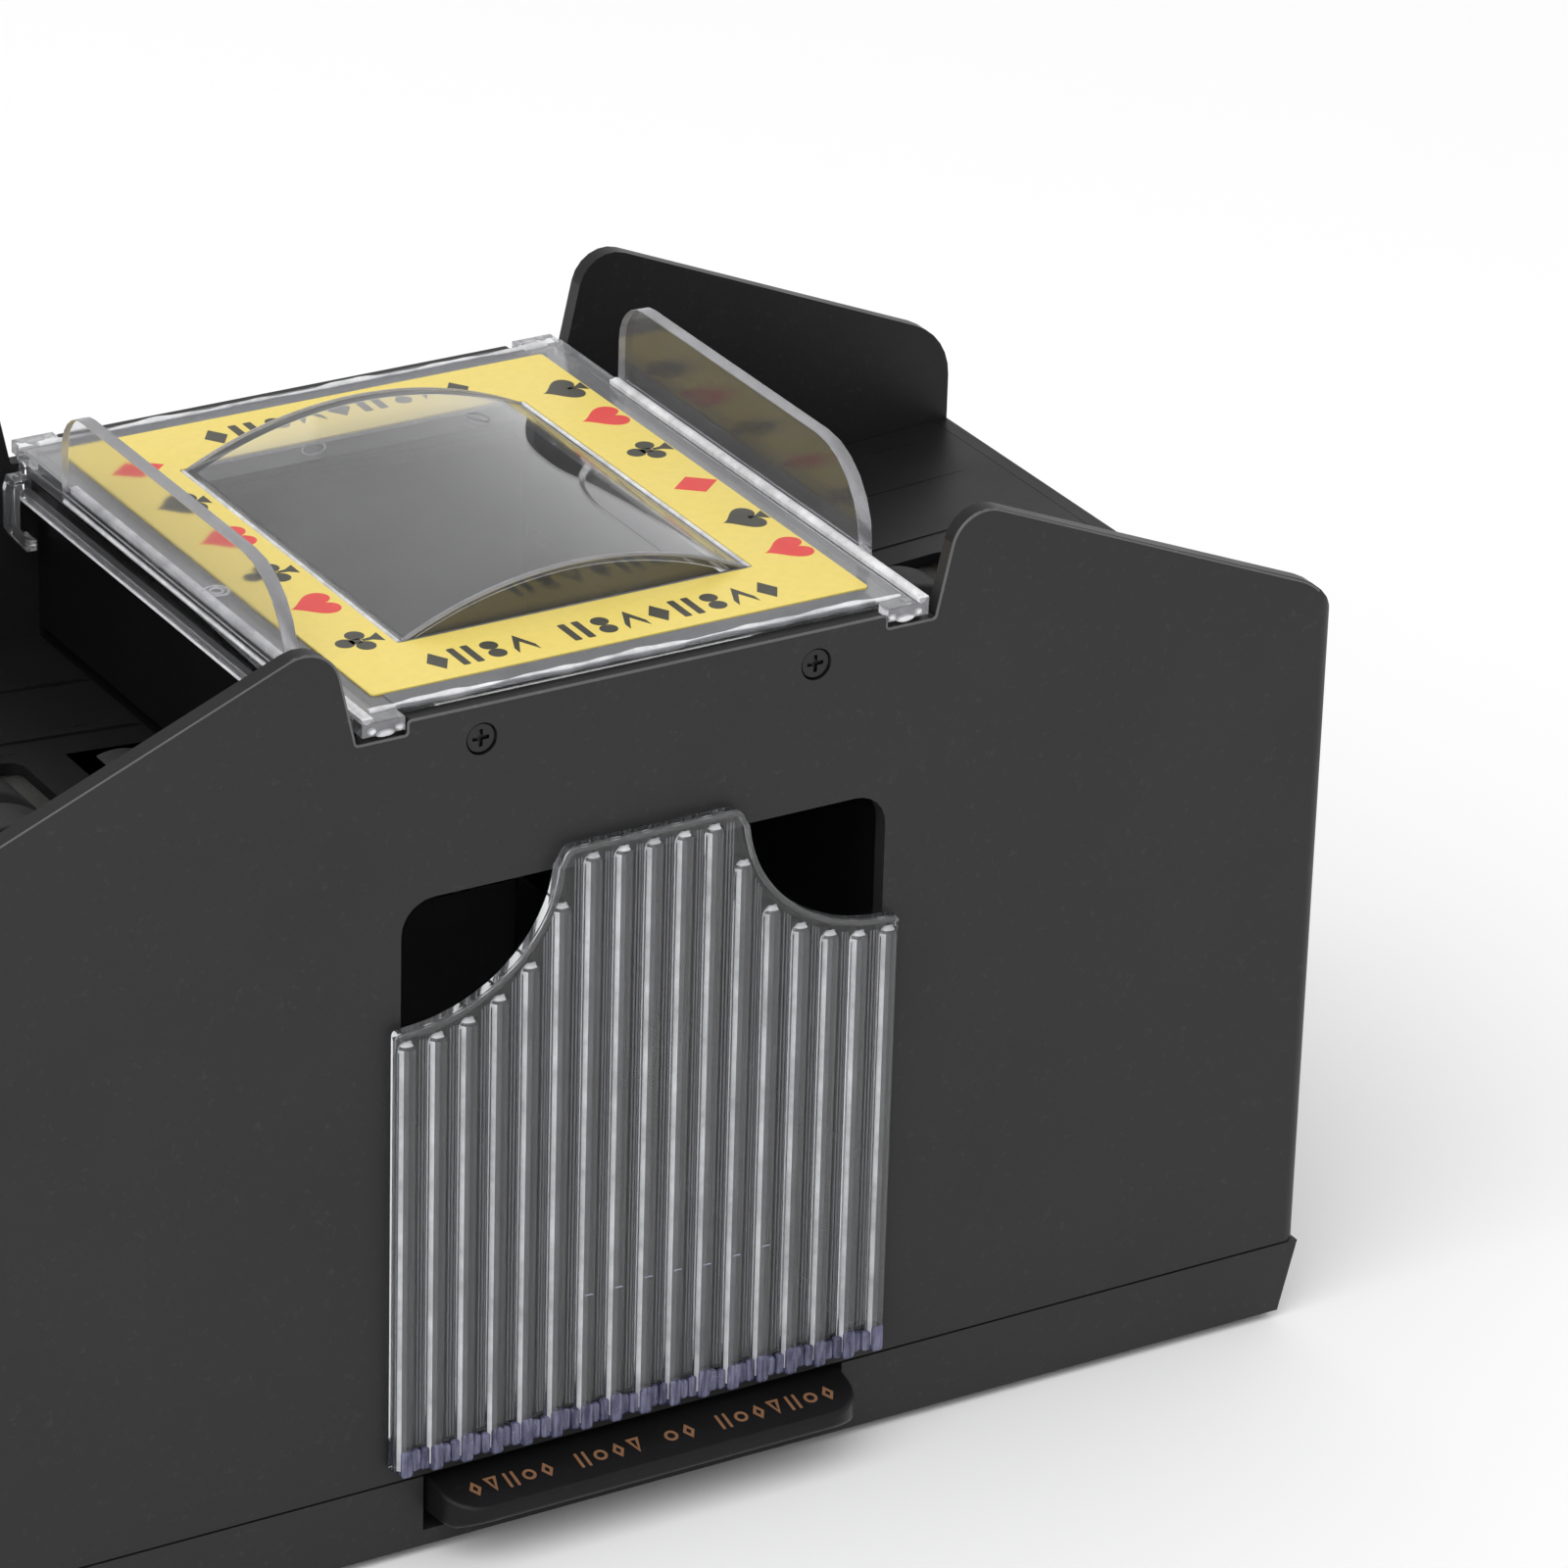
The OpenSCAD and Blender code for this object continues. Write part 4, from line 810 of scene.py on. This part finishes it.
def paint_rib_highlights(obj):
    """The left flank and dome of every rib get a painted highlight in frosted plastic, and the faces between
    the flank and the rib's front a fainter one.
    """
    for poly in obj.data.polygons:
        n = poly.normal
        flank = abs(n.z) < 0.3 and n.y < -0.3 and -0.92 < n.x < -0.58
        dome = 0.55 < n.z < 0.92 and -0.9 < n.x < 0.45 and n.y < -0.1
        soft = abs(n.z) < 0.3 and n.y < -0.3 and -0.58 <= n.x < -0.15
        poly.material_index = 1 if flank or dome else 2 if soft else 0


def drag_meshes():
    """Fine vertical drag lines that the mould leaves between the ribs."""
    lines = []
    for i in range(RIBS - 1):
        for k, part in enumerate((0.42, 0.52, 0.61)):
            x = rib_x(i) + RIB_PITCH * (part + 0.012 * math.sin(3.7 * i + k))
            top = min(panel_top(x - 0.6), panel_top(x + 0.6)) - 1.6
            y = PANEL_FACE + 0.03
            thick = 0.13 if k == 1 else 0.1
            lines.append(tube_mesh("drag", [(x, y, PANEL_FOOT + 3.2), (x, y, top)], thick, resolution=1))
    return lines


def drawer_piece(name, meshes, materials, angle=35, rims=False):
    """A piece of the drawer; with rims, faces that don't look forward or back get the second material."""
    obj = joined(name, meshes)
    if rims:
        for poly in obj.data.polygons:
            poly.material_index = 0 if abs(poly.normal.y) > 0.8 else 1
    shade(obj, materials, angle)
    return seat(obj, "card_drawer", ("card_drawer",))


def tub_meshes():
    """The open tub behind the panel: floor, two sides and back."""
    half, low, high, wall = 33.6, 15.0, 41.0, 1.2
    front, back = PANEL_BACK + 0.02, DRAWER_HIGH.y
    floor = rounded_rect(-half, front, half, back, 1.0)
    parts = [plate_mesh("floor", [floor], "XY", low, low + wall, 0.25)]
    for s in (-1, 1):
        w0 = half - wall if s > 0 else -half
        parts.append(plate_mesh("side", [rounded_rect(front, low + wall + 0.01, back, high, 0.8)], "YZ",
                                w0, w0 + wall, 0.25))
    rear = rounded_rect(-half + wall + 0.02, low + wall + 0.01, half - wall - 0.02, high, 0.8)
    parts.append(plate_mesh("back", [rear], "XZ", -back, -back + wall, 0.25))
    return parts


def drawer():
    panel = plate_mesh("panel", [panel_outline()], "XZ", -PANEL_BACK, -PANEL_FACE, 0.3, 3)
    drawer_piece("drawer_panel", [panel], [CLEAR_DRAWER, DRAWER_RIM], rims=True)
    drawer_piece("drawer_band", [top_band()], [CLEAR_DRAWER, DRAWER_RIM], rims=True)
    ribs = []
    for i in range(RIBS):
        x = rib_x(i)
        ribs.append(rib_mesh(x, min(panel_top(x - RIB_R), panel_top(x + RIB_R)) - 1.2 - RIB_R))
    # Painted highlights on the ribs' left flanks and domes, fainter beside them.
    paint_rib_highlights(drawer_piece("drawer_ribs", ribs, [CLEAR_DRAWER, RIB_PAINTED_HIGHLIGHT, RIB_DRAG_AND_HIGHLIGHT], 50))
    drawer_piece("drawer_drag_lines", drag_meshes(), [RIB_DRAG_AND_HIGHLIGHT], 60)
    drawer_piece("drawer_foot", cusp_meshes(), [DRAWER_TOE])
    # Painted glints on the middle ribs.
    drawer_piece("drawer_glints", glint_meshes(), [DRAWER_RIM], 60)
    drawer_piece("drawer_tub", tub_meshes(), [CLEAR_DRAWER])


# ------------------------------------------------------------------ cover

LABEL_LOW, LABEL_HIGH = box_mm("top_label")
LABEL_TOP = LABEL_HIGH.z
COVER_TOP = LABEL_TOP - 0.3
FIN_IN, FIN_OUT = 39.7, 41.7
FIN_Y = (-28.0, 34.0)
PLATE_SIDE = 40.2
RIDGE_IN, RIDGE_TOP = 38.4, COVER_TOP + 0.7
FILLET_X = 39.05
TAB_IN = 34.0
SKIRT_LOW = 110.9
VAULT_HALF, VAULT_RISE = 24.9, 6.0
VAULT_Y = (-25.9, 33.2)
VAULT_R = (VAULT_HALF ** 2 + VAULT_RISE ** 2) / (2 * VAULT_RISE)
VAULT_CZ = COVER_TOP + VAULT_RISE - VAULT_R
INNER_FRONT, INNER_BACK = WALL_FACE + WALL_THICK, WALL_BACK - WALL_THICK


def vault_point(x, y, lift=0.0):
    """The point on the vault's outer face above x, y, moved out by lift."""
    a = math.asin(x / VAULT_R)
    return (math.sin(a) * (VAULT_R + lift), y, VAULT_CZ + math.cos(a) * (VAULT_R + lift))


def cover_piece(name, meshes, material, angle=60):
    obj = joined(name, meshes)
    shade(obj, [material], angle)
    seat(obj, "top_cover", ("top_cover",))


def cover_shell():
    """The cover as moulded: clear faces, a milkier plate, hazier fins, frosted rims on fins and tabs, and a
    painted highlight on the ridges beside the fins.
    """
    materials = [CLEAR, CLEAR_RIM, CLEAR_FIN, CLEAR_PAINTED_HIGHLIGHT, CLEAR_PLATE]
    obj = refined("top_cover", materials, "top_cover", 0.4, 3, "cover_clear")
    for poly in obj.data.polygons:
        centre, normal = poly.center / MM, poly.normal
        x = abs(centre.x)
        poly.material_index = 0
        if x > FIN_IN - 0.2 and centre.z > RIDGE_TOP + 0.1:
            poly.material_index = 1 if abs(normal.x) < 0.92 else 2
        elif x > PLATE_SIDE - 0.2 and abs(normal.x) > 0.92:
            poly.material_index = 2
        # The ridge faces beside the fins get the painted highlight.
        elif x > RIDGE_IN - 0.2 and centre.z > COVER_TOP + 0.2:
            poly.material_index = 3
        elif x > TAB_IN - 0.2 and not INNER_FRONT < centre.y < INNER_BACK and abs(normal.z) < 0.5:
            poly.material_index = 1
        elif normal.z > 0.98 and abs(centre.z - COVER_TOP) < 0.1:
            poly.material_index = 4


def rod(x, y0, y1, z, radius):
    """A straight round bead along Y."""
    return tube_mesh("rod", [(x, y0, z), (x, y1, z)], radius)


def cover_bead_highlights():
    """Painted highlight lines in frosted plastic: bright fillets along the fins and the skirt, and the fine
    bead round the vault.
    """
    bright, soft = [], []
    fin_front, fin_back = FIN_Y[0] + 0.3, FIN_Y[1] - 0.5
    sill_z = COVER_TOP + 0.05
    for s in (-1, 1):
        bright.append(rod(s * FILLET_X, WALL_FACE + 0.75, fin_back, RIDGE_TOP - 0.3, 0.66))
        bright.append(rod(s * (FIN_OUT - 0.28), fin_front, fin_back, COVER_TOP - 0.85, 0.4))
        skirt_x = s * (PLATE_SIDE - 0.1)
        bright.append(rod(skirt_x, INNER_FRONT + 0.8, INNER_BACK - 0.8, SKIRT_LOW + 0.15, 0.24))
        bright.append(rod(s * VAULT_HALF, VAULT_Y[0], VAULT_Y[1], sill_z, 0.34))
        soft.append(rod(s * (FIN_OUT - 0.05), fin_front, fin_back, COVER_TOP + 0.3, 0.12))
    for y in (VAULT_Y[0] + 0.15, VAULT_Y[1] - 0.15):
        bow = [vault_point(VAULT_HALF * (i / 20 - 1), y, -0.1) for i in range(41)]
        soft.append(tube_mesh("bow", bow, 0.3))
        soft.append(tube_mesh("sill", [(-VAULT_HALF, y, sill_z), (VAULT_HALF, y, sill_z)], 0.22))
    cover_piece("cover_fillet_highlights", bright, CLEAR_PAINTED_HIGHLIGHT)
    cover_piece("cover_bead_highlights", soft, CLEAR_RIM)


def weld_mesh(outer, s):
    """The uneven welded bead along the outer edge of a border; s is the side, -1 for the front."""
    half, n = 37.5, 150
    line, swell = [], []
    for i in range(n + 1):
        wander = 0.12 * math.sin(i * 0.21 + s)
        line.append((-half + 2 * half * i / n, outer - s * 0.75 + wander, COVER_TOP - 0.02))
        slow = 0.42 * math.sin(i * 0.17 + 2 * s) * math.sin(i * 0.053)
        swell.append(1 + slow + 0.12 * math.sin(i * 0.61))
    return tube_mesh("weld", line, 0.44, resolution=3, radii=swell)


def tick_meshes(outer, inner, s):
    """Fine cross lines on a border."""
    ticks, z = [], COVER_TOP + 0.17
    for i, x in enumerate((-24.5, -9.5, 3.6, 17.5, 29.0)):
        lean = 0.3 * math.sin(i * 2.7)
        route = [(x, outer - s * 0.5, z), (x + lean, inner + s * 0.5, z)]
        ticks.append(tube_mesh("tick", route, 0.07, resolution=2))
    return ticks


def cover_borders():
    """Glassy borders in front of and behind the label, with an uneven welded edge and cross ticks."""
    pads, weld, ticks = [], [], []
    half, gap = 33.8, 0.12
    for outer, inner, s in ((INNER_FRONT + 0.3, LABEL_LOW.y - gap, -1),
                            (INNER_BACK - 0.3, LABEL_HIGH.y + gap, 1)):
        loop = rounded_rect(-half, min(outer, inner), half, max(outer, inner), 0.5, 4)
        pads.append(plate_mesh("pad", [loop], "XY", COVER_TOP - 0.1, COVER_TOP + 0.2, 0.12, 2))
        weld.append(weld_mesh(outer, s))
        ticks += tick_meshes(outer, inner, s)
    cover_piece("cover_pads", pads, CLEAR_BORDER, 50)
    # The weld bead is made in the painted highlight plastic, so its irregular highlights are painted.
    cover_piece("cover_weld", weld, CLEAR_PAINTED_HIGHLIGHT, 50)
    cover_piece("cover_ticks", ticks, CLEAR_RIM, 50)


def cover_lumps():
    """Glassy lumps under the ends of the four tabs, where the runners were cut off."""
    lumps = []
    for s in (-1, 1):
        for y in (WALL_FACE + 0.5, WALL_BACK - 0.5):
            lumps.append(blob_mesh((s * 36.6, y, COVER_TOP - 1.75), (1.35, 0.45, 0.5)))
            lumps.append(blob_mesh((s * 34.7, y, COVER_TOP - 1.3), (0.65, 0.4, 0.45)))
            lumps.append(blob_mesh((s * 38.5, y, COVER_TOP - 1.2), (0.6, 0.4, 0.5)))
    # The lumps are made in the near-white painted highlight plastic.
    cover_piece("cover_lumps", lumps, CLEAR_PAINTED_HIGHLIGHT)


def ring_mesh(centre, normal, radius, wire):
    """A thin ring that lies square to normal."""
    turn = Vector(normal).to_track_quat("Z", "Y").to_matrix()
    points = []
    for i in range(32):
        a = 2 * math.pi * i / 32
        points.append(Vector(centre) + turn @ Vector((radius * math.cos(a), radius * math.sin(a), 0)))
    return tube_mesh("ring", points, wire, cyclic=True, resolution=3)


def cover_pins():
    """Witness rings of two ejector pins on the back of the vault, and of one boss beside the label."""
    pins = []
    for x in (-11.5, 12.5):
        at = vault_point(x, 22.6)
        pins.append(ring_mesh(at, (at[0], 0, at[2] - VAULT_CZ), 1.5, 0.11))
    boss = (-36.8, -1.9, COVER_TOP + 0.04)
    cover_piece("cover_pins", pins, CLEAR_RIM)
    # The boss rings are made in the near-white painted highlight plastic.
    cover_piece("cover_bosses", [ring_mesh(boss, (0, 0, 1), r, 0.15) for r in (0.85, 1.55)], CLEAR_PAINTED_HIGHLIGHT)


def cover():
    cover_shell()
    cover_bead_highlights()
    cover_borders()
    cover_lumps()
    cover_pins()


# ------------------------------------------------------------------ label

# Outlines of the four suits, about the origin and of size s

def heart(s):
    pts = []
    for i in range(40):
        t = 2 * math.pi * i / 40
        x = 16 * math.sin(t) ** 3
        y = 13 * math.cos(t) - 5 * math.cos(2 * t) - 2 * math.cos(3 * t) - math.cos(4 * t)
        pts.append((x * s / 32, (y + 2.5) * s / 30))
    return [pts[::-1]]


def diamond(s):
    return [[(0.42 * s, 0), (0, 0.5 * s), (-0.42 * s, 0), (0, -0.5 * s)]]


def stem(s):
    half = [(0.04, -0.1), (0.06, -0.3), (0.2, -0.5)]
    loop = half + [(-x, y) for x, y in half[::-1]]
    return [(x * s, y * s) for x, y in loop[::-1]]


def spade(s):
    top = [(x, 0.06 * s - y * 0.86) for x, y in heart(s)[0]]
    return [top, stem(s)]


def club(s):
    leaves = [arc(x * s, y * s, 0.2 * s, 0, 345, 15) for x, y in ((0, 0.27), (-0.25, -0.06), (0.25, -0.06))]
    neck = [(0.1 * s, -0.08 * s), (0.1 * s, 0.16 * s), (-0.1 * s, 0.16 * s), (-0.1 * s, -0.08 * s)]
    return leaves + [neck, stem(s)]


def place(loops, x, y, turn):
    """Outlines turned by turn degrees and moved to x, y."""
    c, s = math.cos(math.radians(turn)), math.sin(math.radians(turn))
    return [[(x + u * c - v * s, y + u * s + v * c) for u, v in loop] for loop in loops]


def ink_meshes(loops):
    """Flat closed sheets 0.05 mm thick on the label, one for each outline."""
    z0 = LABEL_TOP - 0.02
    return [plate_mesh("ink", [loop], "XY", z0, z0 + 0.05, 0.005, 0) for loop in loops]


def ornament_mark(kind, x, y, w, h):
    """One plain mark, w to each side and h tall: a lozenge, two bars, two discs or a dart."""
    if kind == 0:
        return [[(x + w, y), (x, y + h / 2), (x - w, y), (x, y - h / 2)]]
    if kind == 1:
        return [rounded_rect(x - w, y - h / 2, x - w * 0.3, y + h / 2, 0.2, 2),
                rounded_rect(x + w * 0.3, y - h / 2, x + w, y + h / 2, 0.2, 2)]
    if kind == 2:
        r = min(w, h * 0.24)
        return [arc(x, y + side * h * 0.24, r, 0, 345, 15) for side in (-1, 1)]
    return [[(x + w, y - h / 2), (x + w, y - h * 0.2), (x, y + h / 2), (x - w, y - h * 0.2),
             (x - w, y - h / 2), (x, y + h * 0.1)]]


def ornament(x0, x1, y, h, count, gap=None):
    """A row of count plain marks from x0 to x1; the mark numbered gap is left out."""
    meshes = []
    step = (x1 - x0) / count
    for i in range(count):
        if i != gap:
            meshes += ink_meshes(ornament_mark(i % 4, x0 + (i + 0.5) * step, y, step * 0.38, h))
    return meshes


def label_sheet():
    """The yellow frame round the vault."""
    gap = 0.4
    outer = rounded_rect(LABEL_LOW.x, LABEL_LOW.y, LABEL_HIGH.x, LABEL_HIGH.y, 0.6, 4)
    inner = rounded_rect(-VAULT_HALF - gap, VAULT_Y[0] - gap, VAULT_HALF + gap, VAULT_Y[1] + gap, 0.4, 3)
    obj = joined("label_sheet", [plate_mesh("label", [outer, inner], "XY", LABEL_LOW.z, LABEL_TOP, 0.04, 1)])
    shade(obj, [LABEL])
    seat(obj, "top_cover", ("top_label",))


# The two columns of suits: x, then each suit from the back to the front with its y
RIGHT_SUITS = (31.7, ((34.4, spade), (23.9, heart), (11.8, club), (-0.6, diamond), (-12.9, spade),
                      (-23.4, heart)))
LEFT_SUITS = (-29.4, ((36.0, diamond), (23.5, spade), (11.4, heart), (-0.8, club), (-11.6, heart),
                      (-23.6, club)))
SUIT_SIZE = 6.4


def label():
    """The printed frame: its sheet, a column of suits at each side and a row of plain marks at each end."""
    label_sheet()
    red, dark = [], []
    for x, column in (RIGHT_SUITS, LEFT_SUITS):
        for y, suit in column:
            turn = -90 if suit is heart else 90
            marks = ink_meshes(place(suit(SUIT_SIZE), x, y, turn))
            (red if suit in (heart, diamond) else dark).extend(marks)
    dark += ornament(-25.4, 25.2, -33.2, 5.0, 13, 4)
    dark += ornament(-18.4, 21.6, 41.0, 4.8, 9)
    for name, meshes, ink in (("label_red", red, INK_RED), ("label_dark", dark, INK_DARK)):
        marks = joined(name, meshes)
        shade(marks, [ink])
        seat(marks, "top_cover", ("top_label",))


# ------------------------------------------------------------------ press bar

def bar_mark(kind):
    """Thin-stroked plain figures: a lozenge, a ring, a pair of bars, a triangle."""
    h, stroke = 1.35, 0.42
    if kind == 0:
        return [[(0.85, 0), (0, h), (-0.85, 0), (0, -h)],
                [(0.36, 0), (0, h - 0.75), (-0.36, 0), (0, 0.75 - h)]]
    if kind == 1:
        return [arc(0, 0, 0.95, 0, 345, 15), arc(0, 0, 0.95 - stroke, 0, 345, 15)]
    if kind == 2:
        return [rounded_rect(-0.75, -h, -0.75 + stroke, h, 0.1, 2),
                rounded_rect(0.75 - stroke, -h, 0.75, h, 0.1, 2)]
    return [[(0.95, h), (-0.95, h), (0, -h)], [(0.38, h - 0.36), (-0.38, h - 0.36), (0, 0.72 - h)]]


def bar_marks():
    """A row of plain figures in worn gold on the bar's slope, in four groups."""
    low, high = box_mm("press_bar")
    slope_run, slope_drop = WALL_FACE - low.y, 1.9
    middle_y = WALL_FACE - slope_run / 2 - 0.2
    middle_z = high.z - slope_drop * (WALL_FACE - middle_y) / slope_run
    lean = Matrix.Rotation(math.atan2(slope_drop, slope_run), 4, "X")
    count, first, last, gaps = 21, -25.6, 26.2, (5, 10, 13)
    meshes = []
    for i in range(count):
        if i in gaps:
            continue
        x = first + (last - first) * i / (count - 1)
        mark = plate_mesh("mark", bar_mark(i * 3 % 4), "XY", -0.02, 0.03, 0.005, 0)
        mark.transform(Matrix.Translation(Vector((x, middle_y, middle_z)) * MM) @ lean)
        meshes.append(mark)
    marks = joined("bar_marks", meshes)
    shade(marks, [GOLD])
    seat(marks, "press_bar", ("press_bar",))


def press_bar():
    # The bar's rounds get the painted highlight.
    refined("press_bar", [BAR, BAR_PAINTED_HIGHLIGHT], "press_bar", 0.7, 4, sharp_behind=WALL_FACE + 0.1)
    bar_marks()


# ------------------------------------------------------------------ stage, light, camera

def area_light(name, place_at, target, size, watts):
    data = bpy.data.lights.new(name, "AREA")
    data.shape = "RECTANGLE"
    data.size, data.size_y = size
    data.energy = watts
    light = bpy.data.objects.new(name, data)
    light.location = place_at
    light.rotation_euler = (Vector(target) - Vector(place_at)).to_track_quat("-Z", "Y").to_euler()
    bpy.context.scene.collection.objects.link(light)


def floor_and_world():
    bm = bmesh.new()
    bmesh.ops.create_grid(bm, x_segments=2, y_segments=2, size=6)
    floor = new_object("floor", bmesh_to_mesh("floor", bm))
    mat, tree, out = new_material("pale_floor")
    body = tree.nodes.new("ShaderNodeBsdfPrincipled")
    body.inputs["Base Color"].default_value = (0.93, 0.93, 0.93, 1)
    body.inputs["Roughness"].default_value = 0.9
    body.inputs["Specular IOR Level"].default_value = 0.1
    link(tree, body, "BSDF", out, "Surface")
    floor.data.materials.append(mat)
    world = bpy.data.worlds.new("studio")
    world.use_nodes = True
    background = world.node_tree.nodes["Background"]
    background.inputs["Color"].default_value = (1, 1, 1, 1)
    background.inputs["Strength"].default_value = 0.85
    bpy.context.scene.world = world


def camera():
    """Front left, a little above, with a long lens; the machine's left end runs out of the frame."""
    azimuth, elevation, roll = math.radians(-31.2), math.radians(25.64), math.radians(1.7)
    target, distance = Vector((0.0377, -0.0148, 0.0804)), 1.0315
    data = bpy.data.cameras.new("camera")
    data.lens = 182.75
    data.sensor_width = 36
    data.clip_start, data.clip_end = 0.05, 30
    cam = bpy.data.objects.new("camera", data)
    out = Vector((math.sin(azimuth) * math.cos(elevation), -math.cos(azimuth) * math.cos(elevation),
                  math.sin(elevation)))
    cam.location = target + out * distance
    turn = out.to_track_quat("Z", "Y").to_matrix() @ Matrix.Rotation(roll, 3, "Z")
    cam.rotation_euler = turn.to_euler()
    bpy.context.scene.collection.objects.link(cam)
    bpy.context.scene.camera = cam


housing()
drive()
press_springs()
batteries()
wiring()
drawer()
cover()
label()
press_bar()
floor_and_world()
area_light("key", (-1.2, -0.9, 1.6), (0, 0, 0.06), (2.6, 1.7), 27)
camera()
bpy.context.scene.view_settings.view_transform = "Standard"
